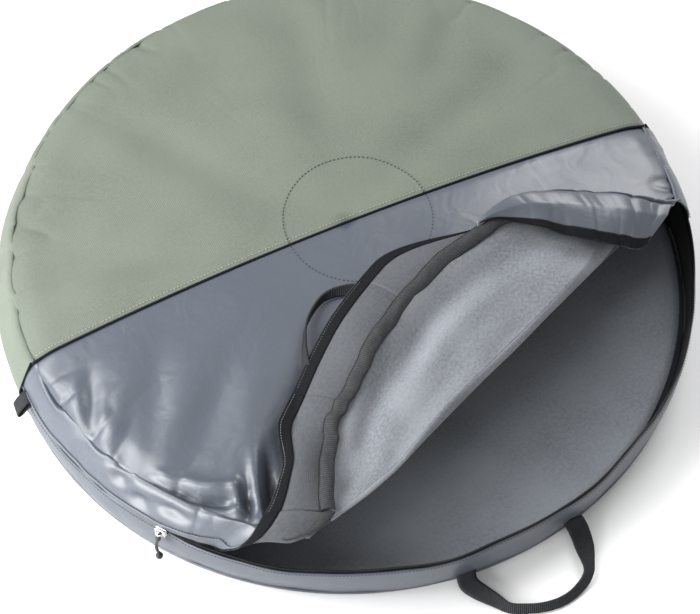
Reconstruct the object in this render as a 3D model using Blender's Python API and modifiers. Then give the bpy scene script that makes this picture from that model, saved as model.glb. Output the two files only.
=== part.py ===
"""A round, padded bag for one bicycle wheel, lying flat with a part of its lid folded back.

The bag is drawn closed, in its own frame: the origin is the centre of the underside on the floor,
+Z is up, +X runs along the seam between the two halves of the lid, and -Y is the side that opens.
Pivots then turn the flap and its side walls to the place where they lie when the bag is half open.
"""
import math

import bmesh
import bpy
from mathutils import Matrix, Vector

# Outline of the bag
BASE_RADIUS = 0.398
ZIP_RADIUS = 0.405
RIM_RADIUS = 0.388
RIM_HEIGHT = 0.117
ZIP_HEIGHT = 0.064
DOME_RISE = 0.033

# Cloth, foam and linings
SHELL_THICKNESS = 0.0020
LINING_THICKNESS = 0.0012
BASE_THICKNESS = 0.0030
PAD_THICKNESS = 0.0030
GAP = 0.0003
HINGE_PLAY = 0.0010
LAYER_PLAY = 0.0009

# Guards for the ends of the wheel's axle
HUB_RADIUS = 0.085
HUB_THICKNESS = 0.0012

# Pipings and bindings
PIPING_RADIUS = 0.0014
BINDING_RADIUS = 0.0015
BINDING_INSET = 0.0020
CENTRE_SEAM_HALF = 0.0018

# Zip
TAPE_SHOWN = 0.0070
TAPE_HIDDEN = 0.0070
TAPE_THICKNESS = 0.0008
COIL_RADIUS = 0.0012
COIL_INSET = 0.0006
ZIP_SPLIT = 0.0006
TAB_WIDTH = 0.020
TAB_HEIGHT = 0.022
TAB_THICKNESS = 0.0016

# Flap that is folded back, in degrees round the bag
FLAP_MIDDLE = -65.8
FLAP_HALF_ANGLE = 49.0
RUN_EDGES = (-49.0, -28.0, -7.0, 14.0, 49.0)
OUTWARD_RUNS = 3
RIGHT_RUN_SLANT = 7.0
FLAP_TIP = 0.014
FLAP_TURN = 180.0
BRIM_TURN = 79.0
TUCK_TURN = 115.0
FOLD_RADIUS = 0.0070
FOLD_DEPTH = 0.0080
FLAP_BINDING_WIDTH = 0.016
FLAP_BINDING_THICKNESS = 0.0010

# Slider and its cord pull
SLIDER_ANGLE = -145.0
SLIDER_DEPTH = 0.0050
SLIDER_WIDTH = 0.0140
SLIDER_HEIGHT = 0.0110
SLIDER_BEVEL = 0.0012
PULL_RADIUS = 0.0013
PULL_LENGTH = 0.031
PULL_LEAN = 0.005
PULL_END_RADIUS = 0.0030
PULL_END_LENGTH = 0.0090

# Handles of webbing
STRAP_THICKNESS = 0.0016
STRAP_WIDTH = 0.025
GRIP_WIDTH = 0.013
HANDLE_HALF_SPAN = 0.0577
HANDLE_REACH = 0.076
HANDLE_ANGLE = -85.2
HANDLE_SEAM_HEIGHT = 0.0090
HANDLE_DROP_LENGTH = 0.030
UPPER_HANDLE_REACH = 0.098
UPPER_HANDLE_LEAN = 5.0
SQUARENESS = 0.55

# Facets
FULL_TURN = 360.0
HALF_TURN = 180.0
STEP_DEGREES = 5.0
DOME_ROWS = 4
RUN_STEP_DEGREES = 5.0
STRAP_STEPS = 16
WELD = 0.00005
CUT_OVERRUN = 0.1

HINGE_HEIGHT = RIM_HEIGHT + DOME_RISE
FOLD_DISTANCE = RIM_RADIUS * math.cos(math.radians(FLAP_HALF_ANGLE))
SLANT_LENGTH = math.hypot(ZIP_RADIUS - RIM_RADIUS, RIM_HEIGHT - ZIP_HEIGHT)
SLANT_ANGLE = math.atan2(ZIP_RADIUS - RIM_RADIUS, RIM_HEIGHT - ZIP_HEIGHT)
SKIN_STEP = SHELL_THICKNESS + GAP
LINING_STEP = SKIN_STEP + LINING_THICKNESS + GAP
WALL_FOOT = BASE_THICKNESS + GAP
FLOOR_TOP = WALL_FOOT + PAD_THICKNESS + GAP + LINING_THICKNESS
FLOOR_RADIUS = BASE_RADIUS - LINING_STEP - BINDING_INSET
TUCK_PIVOT_DROP = LINING_STEP + FLAP_BINDING_THICKNESS + GAP

PALETTE = {
    "sage": ((0.34, 0.37, 0.33), 0.85, 0.0),
    "slate": ((0.20, 0.22, 0.25), 0.50, 0.0),
    "lining_grey": ((0.33, 0.34, 0.36), 0.80, 0.0),
    "lining_black": ((0.02, 0.02, 0.022), 0.80, 0.0),
    "webbing": ((0.035, 0.038, 0.042), 0.85, 0.0),
    "foam": ((0.10, 0.10, 0.11), 0.95, 0.0),
    "zip_black": ((0.012, 0.012, 0.013), 0.60, 0.0),
    "steel": ((0.62, 0.62, 0.62), 0.30, 1.0),
}


def clear_scene():
    for item in list(bpy.data.objects):
        bpy.data.objects.remove(item, do_unlink=True)


def new_collection(name):
    collection = bpy.data.collections.new(name)
    bpy.context.scene.collection.children.link(collection)
    return collection


def finish_for(name, finish):
    """One material for each sub-part, in the finish's colour"""
    colour, roughness, metallic = PALETTE[finish]
    material = bpy.data.materials.new(name)
    material.use_nodes = True
    shader = material.node_tree.nodes["Principled BSDF"]
    shader.inputs["Base Color"].default_value = (*colour, 1.0)
    shader.inputs["Roughness"].default_value = roughness
    shader.inputs["Metallic"].default_value = metallic
    return material


def around(radius, degrees, height):
    """A point at an angle round the bag"""
    angle = math.radians(degrees)
    return Vector((radius * math.cos(angle), radius * math.sin(angle), height))


def outward(degrees):
    return around(1, degrees, 0)


def dome_height(radius):
    """Height of the lid's outer face at a distance from the centre"""
    return RIM_HEIGHT + DOME_RISE * (1 - (radius / RIM_RADIUS) ** 2)


def wall_radius(height):
    """Outer face of the side wall: widest at the zip"""
    if height < ZIP_HEIGHT:
        return BASE_RADIUS + (ZIP_RADIUS - BASE_RADIUS) * height / ZIP_HEIGHT
    share = (height - ZIP_HEIGHT) / (RIM_HEIGHT - ZIP_HEIGHT)
    return ZIP_RADIUS + (RIM_RADIUS - ZIP_RADIUS) * share


def seam_degrees(radius):
    """Angle that half the centre seam takes at a radius"""
    return math.degrees(math.asin(CENTRE_SEAM_HALF / radius))


def steps_for(start, end, step=STEP_DEGREES):
    return max(2, round(abs(end - start) / step))


class Pivot:
    """An empty on a joint's axis. What hangs on it is drawn in the closed bag's own frame."""

    def __init__(self, name, place, turn=0.0, parent=None):
        self.closed = place
        self.empty = bpy.data.objects.new(name, None)
        parts.objects.link(self.empty)
        if parent:
            self.empty.parent = parent.empty
            self.empty.matrix_parent_inverse = parent.closed.inverted()
        self.empty.matrix_basis = place @ Matrix.Rotation(math.radians(turn), 4, "X")

    def carry(self, item):
        item.parent = self.empty
        item.matrix_parent_inverse = self.closed.inverted()


def axis_place(origin, along):
    """A frame whose X runs along a level axis"""
    side = Vector((0, 0, 1)).cross(along)
    frame = Matrix((along, side, Vector((0, 0, 1)))).transposed().to_4x4()
    return Matrix.Translation(origin) @ frame


def add_mesh(name, bm, finish, pivot=None):
    bmesh.ops.remove_doubles(bm, verts=bm.verts, dist=WELD)
    mesh = bpy.data.meshes.new(name)
    bm.to_mesh(mesh)
    bm.free()
    mesh.materials.append(finish_for(name, finish))
    item = bpy.data.objects.new(name, mesh)
    parts.objects.link(item)
    if pivot:
        pivot.carry(item)
    return item


def sheet(name, columns, rows, point, thickness, finish, pivot=None):
    """A grid laid out by point(column, row), with its thickness on the inner side"""
    bm = bmesh.new()
    bmesh.ops.create_grid(bm, x_segments=columns, y_segments=rows, size=1)
    for vert in bm.verts:
        column = round((vert.co.x + 1) / 2 * columns)
        row = round((vert.co.y + 1) / 2 * rows)
        vert.co = point(column, row)
    item = add_mesh(name, bm, finish, pivot)
    solidify = item.modifiers.new("thickness", "SOLIDIFY")
    solidify.thickness = thickness
    solidify.offset = -1
    item.data.shade_smooth()
    item.data.set_sharp_from_angle(angle=math.radians(40))
    return item


def disc(name, radius, foot, thickness, finish):
    bm = bmesh.new()
    bmesh.ops.create_cone(
        bm, cap_ends=True, segments=round(FULL_TURN / STEP_DEGREES),
        radius1=radius, radius2=radius, depth=thickness,
    )
    item = add_mesh(name, bm, finish)
    item.location.z = foot + thickness / 2
    return item


def tube(name, points, radius, finish, cyclic=False, pivot=None, resolution=1):
    curve = bpy.data.curves.new(name, "CURVE")
    curve.dimensions = "3D"
    curve.bevel_depth = radius
    curve.bevel_resolution = resolution
    curve.use_fill_caps = True
    spline = curve.splines.new("POLY")
    spline.points.add(len(points) - 1)
    for place, point in zip(spline.points, points):
        place.co = (*point, 1.0)
    spline.use_cyclic_u = cyclic
    curve.materials.append(finish_for(name, finish))
    item = bpy.data.objects.new(name, curve)
    parts.objects.link(item)
    if pivot:
        pivot.carry(item)
    return item


def arc_points(start, end, radius, height, step=STEP_DEGREES):
    count = steps_for(start, end, step)
    return [around(radius, start + (end - start) * i / count, height) for i in range(count + 1)]


def ring(name, radius, height, thickness, finish):
    points = arc_points(0, FULL_TURN, radius, height)[:-1]
    return tube(name, points, thickness, finish, cyclic=True)


def wall(name, start, end, heights, depth, thickness, finish, pivot=None):
    """A side wall between two angles, its outer face depth inside the bag's outline"""
    columns = steps_for(start, end)

    def point(column, row):
        angle = start + (end - start) * column / columns
        return around(wall_radius(heights[row]) - depth, angle, heights[row])

    return sheet(name, columns, len(heights) - 1, point, thickness, finish, pivot)


def lid_half(name, side, rim, depth, thickness, finish, pivot=None):
    """Half of the domed lid, its straight edge beside the centre seam"""
    columns = round(HALF_TURN / STEP_DEGREES)
    start = 0 if side > 0 else -HALF_TURN

    def point(column, row):
        radius = rim * (1 - row / DOME_ROWS)
        place = around(radius, start + HALF_TURN * column / columns, dome_height(radius) - depth)
        reach = 1 - CENTRE_SEAM_HALF / rim
        place.y = side * CENTRE_SEAM_HALF + place.y * reach
        return place

    return sheet(name, columns, DOME_ROWS, point, thickness, finish, pivot)


def build_base():
    disc("base_panel", BASE_RADIUS, 0, BASE_THICKNESS, "slate")
    disc("floor_pad", FLOOR_RADIUS, WALL_FOOT, PAD_THICKNESS, "foam")
    disc("floor_lining", FLOOR_RADIUS, FLOOR_TOP - LINING_THICKNESS, LINING_THICKNESS, "lining_black")
    disc("hub_guard_floor", HUB_RADIUS, FLOOR_TOP + GAP, HUB_THICKNESS, "webbing")
    piping = wall_radius(WALL_FOOT) + GAP + PIPING_RADIUS
    ring("base_piping", piping, WALL_FOOT, PIPING_RADIUS, "webbing")
    ring("floor_binding", FLOOR_RADIUS, FLOOR_TOP + GAP + BINDING_RADIUS, BINDING_RADIUS, "webbing")


def build_front_wall():
    edge = seam_degrees(ZIP_RADIUS)
    start = -HALF_TURN + edge
    end = -edge
    top = ZIP_HEIGHT - TAPE_SHOWN
    tape_foot = top - TAPE_HIDDEN
    split = ZIP_HEIGHT - ZIP_SPLIT
    wall("front_wall", start, end, (WALL_FOOT, top / 2, top), 0, SHELL_THICKNESS, "slate")
    wall("front_wall_lining", start, end, (WALL_FOOT, tape_foot - GAP), SKIN_STEP, LINING_THICKNESS,
         "lining_black")
    wall("zip_tape_lower", start, end, (tape_foot, split), SKIN_STEP, TAPE_THICKNESS, "zip_black")
    height = split - COIL_INSET - COIL_RADIUS
    radius = wall_radius(height) - SKIN_STEP + GAP + COIL_RADIUS
    tube("zip_coil_lower", arc_points(start, end, radius, height), COIL_RADIUS, "zip_black")


def build_rear():
    edge = seam_degrees(RIM_RADIUS)
    top = RIM_HEIGHT - SKIN_STEP
    start = edge
    end = HALF_TURN - edge
    wall("rear_wall", start, end, (WALL_FOOT, ZIP_HEIGHT / 2, ZIP_HEIGHT, top), 0, SHELL_THICKNESS,
         "sage")
    wall("rear_wall_lining", start, end, (WALL_FOOT, ZIP_HEIGHT, top - BINDING_RADIUS), SKIN_STEP,
         LINING_THICKNESS, "lining_black")
    rim = RIM_RADIUS - LINING_STEP - BINDING_INSET
    lid_half("lid_rear", 1, RIM_RADIUS, 0, SHELL_THICKNESS, "sage")
    lid_half("lid_rear_lining", 1, rim, SKIN_STEP, LINING_THICKNESS, "lining_grey")
    lid_half("hub_guard_rear", 1, HUB_RADIUS, LINING_STEP + LAYER_PLAY, HUB_THICKNESS, "webbing")
    height = dome_height(rim) - LINING_STEP - BINDING_RADIUS
    points = arc_points(start, end, rim - BINDING_RADIUS, height)
    tube("rear_rim_binding", points, BINDING_RADIUS, "webbing")


def build_centre_piping():
    """The piping runs over the lid and down both side walls to the base"""
    side = [(wall_radius(height) + PIPING_RADIUS, height)
            for height in (WALL_FOOT + 2 * PIPING_RADIUS + GAP, ZIP_HEIGHT / 2, ZIP_HEIGHT)]
    shoulder = (RIM_RADIUS + PIPING_RADIUS, RIM_HEIGHT)
    rows = 2 * DOME_ROWS
    top = [(RIM_RADIUS * (1 - row / rows), dome_height(RIM_RADIUS * (1 - row / rows)))
           for row in range(1, 2 * rows)]
    right = side + [shoulder]
    left = [(-radius, height) for radius, height in reversed(right)]
    points = [(x, 0, z) for x, z in right + top + left]
    tube("centre_piping", points, PIPING_RADIUS, "webbing", resolution=2)


def zip_front(half_height):
    """Radius that clears the side wall and the closed coils, over a height on each side of the zip"""
    heights = (ZIP_HEIGHT - half_height, ZIP_HEIGHT, ZIP_HEIGHT + half_height)
    widest = max(wall_radius(height) for height in heights)
    return widest - SHELL_THICKNESS + 2 * COIL_RADIUS + GAP


def build_tabs():
    """A webbing tab is sewn over each end of the zip"""
    inner = zip_front(TAB_HEIGHT / 2)
    for name, side in (("tab_left", -1), ("tab_right", 1)):
        bm = bmesh.new()
        bmesh.ops.create_cube(bm, size=1)
        size = (TAB_THICKNESS, TAB_WIDTH, TAB_HEIGHT)
        bmesh.ops.scale(bm, vec=size, verts=bm.verts)
        item = add_mesh(name, bm, "webbing")
        reach = inner + TAB_THICKNESS / 2
        item.location = (side * reach, -CENTRE_SEAM_HALF - TAB_WIDTH / 2, ZIP_HEIGHT)


def flap_cutter():
    """Takes the flap's area off the grey half of the lid"""
    bm = bmesh.new()
    bmesh.ops.create_cube(bm, size=1)
    reach = 2 * ZIP_RADIUS
    bmesh.ops.scale(bm, vec=(reach, reach, CUT_OVERRUN), verts=bm.verts)
    mesh = bpy.data.meshes.new("flap_cutter")
    bm.to_mesh(mesh)
    bm.free()
    item = bpy.data.objects.new("flap_cutter", mesh)
    cutters.objects.link(item)
    item.location = outward(FLAP_MIDDLE) * (FOLD_DISTANCE + reach / 2)
    item.location.z = dome_height(FOLD_DISTANCE)
    item.rotation_euler.z = math.radians(FLAP_MIDDLE)
    item.hide_render = True
    item.display_type = "WIRE"
    return item


def lid_wall(side, start, end, slant, pivot):
    """A stretch of side wall with its tape and coil, on the part of the lid that stays down"""
    top = RIM_HEIGHT - SKIN_STEP
    shell_foot = ZIP_HEIGHT + TAPE_SHOWN
    tape_top = shell_foot + TAPE_HIDDEN
    split = ZIP_HEIGHT + ZIP_SPLIT

    def layer(name, low, high, depth, thickness, finish):
        columns = steps_for(start, end)

        def point(column, row):
            height = high if row else low
            drop = (RIM_HEIGHT - height) / (RIM_HEIGHT - ZIP_HEIGHT)
            angle = start - slant * drop + (end - start + slant * drop) * column / columns
            return around(wall_radius(height) - depth, angle, height)

        return sheet(name, columns, 1, point, thickness, finish, pivot)

    layer("lid_wall_" + side, shell_foot, top, 0, SHELL_THICKNESS, "slate")
    tape_depth = SKIN_STEP + LAYER_PLAY if slant else SKIN_STEP
    layer("lid_tape_" + side, split, tape_top, tape_depth, TAPE_THICKNESS, "zip_black")
    height = split + COIL_INSET + COIL_RADIUS
    radius = wall_radius(height) - tape_depth + GAP + COIL_RADIUS
    play = math.degrees(2 * COIL_RADIUS / ZIP_RADIUS) if slant else 0
    points = arc_points(start - slant + play, end, radius, height)
    tube("lid_coil_" + side, points, COIL_RADIUS, "zip_black", pivot=pivot)


def build_lid_front():
    pivot = Pivot("lid_hinge", Matrix.Translation((0, 0, HINGE_HEIGHT)))
    rim = RIM_RADIUS - LINING_STEP - BINDING_INSET
    cutter = flap_cutter()
    shell = lid_half("lid_front", -1, RIM_RADIUS, 0, SHELL_THICKNESS, "slate", pivot)
    lining = lid_half("lid_front_lining", -1, rim, SKIN_STEP, LINING_THICKNESS, "lining_grey", pivot)
    for item in (shell, lining):
        cut = item.modifiers.new("flap area", "BOOLEAN")
        cut.operation = "DIFFERENCE"
        cut.object = cutter
    lid_half("hub_guard_front", -1, HUB_RADIUS, LINING_STEP + LAYER_PLAY, HUB_THICKNESS, "webbing",
             pivot)
    edge = seam_degrees(RIM_RADIUS)
    play = seam_degrees(RIM_RADIUS)
    left_end = FLAP_MIDDLE - FLAP_HALF_ANGLE - play
    right_start = FLAP_MIDDLE + FLAP_HALF_ANGLE + play
    lid_wall("left", -HALF_TURN + edge, left_end, 0, pivot)
    lid_wall("right", right_start, -edge, RIGHT_RUN_SLANT, pivot)
    build_fold(pivot)
    return pivot


def fold_frame(distance, along, height):
    """A point by its distance out from the centre towards the flap and its place along the fold"""
    out = outward(FLAP_MIDDLE)
    side = outward(FLAP_MIDDLE + HALF_TURN / 2)
    place = out * distance + side * along
    place.z = height
    return place


def fold_axis_height():
    return dome_height(FOLD_DISTANCE) + FOLD_RADIUS


def build_fold(pivot):
    """The cloth rolls over where the flap turns back, taller towards the rim, where the lid is lower"""
    half = RIM_RADIUS * math.sin(math.radians(FLAP_HALF_ANGLE)) - FLAP_TIP
    columns = 2 * DOME_ROWS
    rows = 3 * DOME_ROWS
    centre = fold_axis_height()

    def point(column, row):
        along = half * (2 * column / columns - 1)
        lid = dome_height(math.hypot(FOLD_DISTANCE, along))
        turn = math.radians(-HALF_TURN / 2 + HALF_TURN * row / rows)
        height = centre + (centre - lid + SHELL_THICKNESS) * math.sin(turn)
        distance = FOLD_DISTANCE + LAYER_PLAY + FOLD_DEPTH * math.cos(turn)
        return fold_frame(distance, along, height)

    sheet("lid_fold", columns, rows, point, SHELL_THICKNESS, "lining_grey", pivot)


def rim_point(degrees_from_middle):
    angle = math.radians(degrees_from_middle)
    return RIM_RADIUS * math.cos(angle), RIM_RADIUS * math.sin(angle)


def rim_out_at(along, inset):
    """How far out the straight-sided rim lies at a place along the fold"""
    corners = [rim_point(edge) for edge in RUN_EDGES]
    for (out_a, along_a), (out_b, along_b) in zip(corners, corners[1:]):
        if along <= along_b or (out_b, along_b) == corners[-1]:
            share = (along - along_a) / (along_b - along_a)
            slope = math.atan2(out_b - out_a, along_b - along_a)
            return out_a + (out_b - out_a) * share - inset / math.cos(slope)
    return corners[-1][0]


def flap_layer(name, inset, depth, thickness, finish, pivot, inner=None):
    """A layer of the flap, from the fold (or from a line inner behind the seam) out to its rim"""
    half = RIM_RADIUS * math.sin(math.radians(FLAP_HALF_ANGLE)) - FLAP_TIP - 2 * inset
    columns = 4 * len(RUN_EDGES)
    rows = 2 if inner is None else 1

    def point(column, row):
        along = half * (2 * column / columns - 1)
        rim = rim_out_at(along, inset)
        near = FOLD_DISTANCE + GAP if inner is None else rim_out_at(along, inner)
        near = max(near, FOLD_DISTANCE + GAP)
        rim = max(rim, near + HINGE_PLAY)
        out = rim + (near - rim) * row / rows
        height = dome_height(min(math.hypot(out, along), RIM_RADIUS)) - depth
        return fold_frame(out, along, height)

    return sheet(name, columns, rows, point, thickness, finish, pivot)


def run_frame(index):
    """Pivot of one run of the flap's side wall: on its straight seam, clear of the layers it passes"""
    start = FLAP_MIDDLE + RUN_EDGES[index]
    end = FLAP_MIDDLE + RUN_EDGES[index + 1]
    first = around(RIM_RADIUS, start, RIM_HEIGHT)
    last = around(RIM_RADIUS, end, RIM_HEIGHT)
    along = (last - first).normalized()
    origin = (first + last) / 2
    if index >= OUTWARD_RUNS:
        origin -= outward((start + end) / 2) * SHELL_THICKNESS / 2
        origin.z -= TUCK_PIVOT_DROP
    else:
        origin.z -= SHELL_THICKNESS
    return axis_place(origin, along)


def build_run(index, flap):
    """A run of the flap's side wall with its tape and coil"""
    tucked = index >= OUTWARD_RUNS
    turn = TUCK_TURN if tucked else -BRIM_TURN
    number = str(index + 1)
    pivot = Pivot("run_hinge_" + number, run_frame(index), turn, flap)
    start = FLAP_MIDDLE + RUN_EDGES[index]
    end = FLAP_MIDDLE + RUN_EDGES[index + 1]
    first = around(RIM_RADIUS, start, RIM_HEIGHT)
    last = around(RIM_RADIUS, end, RIM_HEIGHT)
    chord = (last - first).normalized()
    mitre = math.degrees((SHELL_THICKNESS + HINGE_PLAY) / RIM_RADIUS) / 2
    slant = RIGHT_RUN_SLANT if tucked else 0
    columns = steps_for(start, end, RUN_STEP_DEGREES)
    tape_depth = SKIN_STEP + LAYER_PLAY

    def slope(share):
        """Seam point, zip point and inward direction at a share of the run's length"""
        seam = first.lerp(last, share)
        low = start + mitre
        high = end - mitre - slant
        foot = around(ZIP_RADIUS, low + (high - low) * share, ZIP_HEIGHT)
        return seam, foot, chord.cross(foot - seam).normalized()

    def slope_point(share, drop, depth):
        """share runs along the seam, drop from the seam to the zip, depth in from the outer face"""
        seam, foot, inward = slope(share)
        edge = (2 * share - 1) * (SHELL_THICKNESS + HINGE_PLAY) / 2
        return seam.lerp(foot, drop) - chord * edge * (1 - drop) + inward * depth

    def zip_drop(share, back=0):
        """Drop that lies a length back from where the tape stops short of the zip's other half"""
        seam, foot, inward = slope(share)
        clear = ZIP_SPLIT - inward.z * (tape_depth + TAPE_THICKNESS)
        return 1 - clear / (seam.z - foot.z) - back / (foot - seam).length

    def seam_drop(share):
        """Drop that clears the layers sewn to the seam"""
        seam, foot, inward = slope(share)
        return head / (seam.z - foot.z)

    def layer(name, near, far, depth, thickness, finish):
        """near and far give the drop of the layer's two edges at a share of its length"""
        def point(column, row):
            share = column / columns
            return slope_point(share, near(share) if row else far(share), depth)

        return sheet(name, columns, 1, point, thickness, finish, pivot)

    head = (TUCK_PIVOT_DROP if tucked else SHELL_THICKNESS) + GAP
    shown = TAPE_SHOWN - ZIP_SPLIT

    def wall_foot(share):
        return zip_drop(share, shown)

    def tape_head(share):
        return zip_drop(share, shown + TAPE_HIDDEN)

    layer("flap_wall_" + number, seam_drop, wall_foot, 0, SHELL_THICKNESS, "slate")
    layer("flap_tape_" + number, tape_head, zip_drop, tape_depth, TAPE_THICKNESS, "zip_black")
    back = COIL_INSET + COIL_RADIUS
    depth = tape_depth - GAP - COIL_RADIUS
    shares = [i / columns for i in range(columns + 1)]
    points = [slope_point(share, zip_drop(share, back), depth) for share in shares]
    tube("flap_coil_" + number, points, COIL_RADIUS, "zip_black", pivot=pivot)
    return pivot


def build_flap(lid):
    origin = fold_frame(FOLD_DISTANCE, 0, fold_axis_height())
    along = outward(FLAP_MIDDLE + HALF_TURN / 2)
    pivot = Pivot("flap_hinge", axis_place(origin, along), FLAP_TURN, lid)
    flap_layer("flap_panel", 0, 0, SHELL_THICKNESS, "slate", pivot)
    flap_layer("flap_lining", LINING_STEP, SKIN_STEP, LINING_THICKNESS, "lining_grey", pivot)
    flap_layer("flap_binding", LINING_STEP, LINING_STEP, FLAP_BINDING_THICKNESS, "webbing", pivot,
               inner=LINING_STEP + FLAP_BINDING_WIDTH)
    runs = [build_run(index, pivot) for index in range(len(RUN_EDGES) - 1)]
    build_upper_handle(runs[1])


def loop_edge(half_span, reach, share):
    """One edge of a handle's loop, as places beside and out from the middle of its seam"""
    turn = math.pi * share
    beside = half_span * math.copysign(abs(math.cos(turn)) ** SQUARENESS, math.cos(turn))
    return beside, reach * abs(math.sin(turn)) ** SQUARENESS


def loop_point(share, outer, reach):
    """A point on the inner or outer edge of a handle: wide legs and a narrow grip"""
    if outer:
        return loop_edge(HANDLE_HALF_SPAN + STRAP_WIDTH / 2, reach, share)
    return loop_edge(HANDLE_HALF_SPAN - STRAP_WIDTH / 2, reach - GRIP_WIDTH, share)


def build_lower_handle():
    """Sewn in the base seam, lying out on the floor"""
    seat = wall_radius(HANDLE_SEAM_HEIGHT) + GAP
    out = outward(HANDLE_ANGLE)
    side = outward(HANDLE_ANGLE + HALF_TURN / 2)
    pivot = Pivot("lower_handle_hinge",
                  axis_place(out * seat + Vector((0, 0, HANDLE_SEAM_HEIGHT)), side))

    def point(column, row):
        beside, reach = loop_point(column / STRAP_STEPS, row == 1, HANDLE_REACH)
        sag = max(0, 1 - reach / HANDLE_DROP_LENGTH) ** 2
        low = GAP + STRAP_THICKNESS
        away = math.sqrt(seat ** 2 - beside ** 2) + reach
        place = out * away + side * beside
        place.z = low + (HANDLE_SEAM_HEIGHT - low) * sag
        return place

    sheet("handle_lower", STRAP_STEPS, 1, point, STRAP_THICKNESS, "webbing", pivot)


def build_upper_handle(run):
    """Sewn in the flap's seam, it hangs over the outside of the side wall"""
    index = 1
    start = FLAP_MIDDLE + RUN_EDGES[index]
    end = FLAP_MIDDLE + RUN_EDGES[index + 1]
    middle = (start + end) / 2
    half_turn = math.radians(end - start) / 2
    out = outward(middle)
    side = outward(middle + HALF_TURN / 2)
    seam = out * RIM_RADIUS * math.cos(half_turn)
    seam.z = RIM_HEIGHT
    slope = math.atan2(ZIP_RADIUS - RIM_RADIUS * math.cos(half_turn), RIM_HEIGHT - ZIP_HEIGHT)
    down = out * math.sin(slope) + Vector((0, 0, -math.cos(slope)))
    away = out * math.cos(slope) + Vector((0, 0, math.sin(slope)))
    lean = math.radians(UPPER_HANDLE_LEAN)
    bent = down * math.cos(lean) - away * math.sin(lean)
    pivot = Pivot("upper_handle_hinge", run_frame(index), 0, run)
    lift = STRAP_THICKNESS + GAP + LAYER_PLAY

    def point(column, row):
        beside, reach = loop_point(column / STRAP_STEPS, row == 1, UPPER_HANDLE_REACH)
        reach += SKIN_STEP + GAP
        straight = min(reach, SLANT_LENGTH)
        place = seam + side * beside + down * straight + away * lift
        return place + bent * (reach - straight)

    sheet("handle_upper", STRAP_STEPS, 1, point, STRAP_THICKNESS, "webbing", pivot)


def build_slider():
    """The slider rides on the closed coils and its cord pull hangs in front of the wall"""
    out = outward(SLIDER_ANGLE)
    side = outward(SLIDER_ANGLE + HALF_TURN / 2)
    inner = zip_front(SLIDER_HEIGHT / 2)
    bm = bmesh.new()
    bmesh.ops.create_cube(bm, size=1)
    bmesh.ops.scale(bm, vec=(SLIDER_DEPTH, SLIDER_WIDTH, SLIDER_HEIGHT), verts=bm.verts)
    item = add_mesh("slider", bm, "steel")
    item.location = out * (inner + SLIDER_DEPTH / 2)
    item.location.z = ZIP_HEIGHT
    item.rotation_euler.z = math.radians(SLIDER_ANGLE)
    bevel = item.modifiers.new("rounded", "BEVEL")
    bevel.width = SLIDER_BEVEL
    bevel.segments = 2
    seat = inner + SLIDER_DEPTH + GAP + PULL_RADIUS
    pivot = Pivot("pull_hinge", axis_place(out * seat + Vector((0, 0, ZIP_HEIGHT)), side))
    count = 8
    points = []
    for i in range(count + 1):
        share = i / count
        place = out * (seat + PULL_LEAN * share * share)
        place.z = ZIP_HEIGHT - PULL_LENGTH * share
        points.append(place)
    tube("pull_cord", points, PULL_RADIUS, "webbing", pivot=pivot, resolution=2)
    tail = points[-1].copy()
    tail.z -= GAP + PULL_RADIUS / 2
    end = tail.copy()
    end.z -= PULL_END_LENGTH
    tube("pull_end", [tail, tail.lerp(end, 1 / 2), end], PULL_END_RADIUS, "zip_black", pivot=pivot,
         resolution=2)


clear_scene()
parts = new_collection("bike_wheel_bag")
cutters = new_collection("cutters")
build_base()
build_front_wall()
build_rear()
build_centre_piping()
build_tabs()
build_flap(build_lid_front())
build_lower_handle()
build_slider()
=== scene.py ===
# %% [markdown]
# This is a bag for one bicycle wheel. It lies flat, and a part of its lid is unzipped and folded
# back. Cloth like this could be sculpted or simulated from flat patterns. Here each panel is a fine
# grid of points laid out by a formula, because a sewn bag follows its seams: the seams are circles,
# straight lines and slopes, and the wrinkles start at the seams and die out away from them.

# %% Load the solid model that this scene dresses
import math

import bmesh
import bpy
import numpy as np
from mathutils import Matrix, Vector


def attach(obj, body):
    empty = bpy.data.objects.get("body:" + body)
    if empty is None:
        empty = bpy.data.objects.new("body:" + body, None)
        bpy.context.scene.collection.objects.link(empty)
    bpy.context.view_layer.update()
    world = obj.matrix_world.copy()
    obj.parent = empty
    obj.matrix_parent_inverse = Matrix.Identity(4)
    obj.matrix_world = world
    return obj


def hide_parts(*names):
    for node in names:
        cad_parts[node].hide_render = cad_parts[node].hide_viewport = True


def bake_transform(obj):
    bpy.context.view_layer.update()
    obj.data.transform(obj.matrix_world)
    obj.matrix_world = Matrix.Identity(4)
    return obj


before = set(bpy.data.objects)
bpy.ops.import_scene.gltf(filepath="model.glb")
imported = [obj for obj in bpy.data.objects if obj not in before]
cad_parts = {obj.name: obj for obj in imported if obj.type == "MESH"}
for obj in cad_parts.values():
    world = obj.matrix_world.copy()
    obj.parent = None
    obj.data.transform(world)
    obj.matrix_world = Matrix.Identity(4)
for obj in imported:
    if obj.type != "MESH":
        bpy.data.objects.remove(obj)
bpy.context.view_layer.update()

# %% [markdown]
# The sizes are the ones that a maker of the bag would measure. The lid is a shallow dome with a
# sewn rim. A side wall leans out from the rim to the zip, and in again from the zip to the floor.
# The flap is the part of the lid beyond a straight fold, and lies folded back as its mirror image.

# %% Sizes of the bag in metres, angles in degrees
# RIM, ZIP, BASE and HUB_PATCH are radii, and the four from CLOTH on are thicknesses
RIM = 0.388
RIM_HEIGHT = 0.117
DOME_RISE = 0.033
ZIP = 0.405
ZIP_HEIGHT = 0.064
BASE = 0.398
WALL_FOOT = 0.003
CLOTH = 0.002
LINING = 0.0012
BINDING = 0.001
TAPE = 0.0012
HUB_PATCH = 0.085
# The hub patches sit a little to the right of the middle
HUB_SHIFT = 0.015
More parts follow.
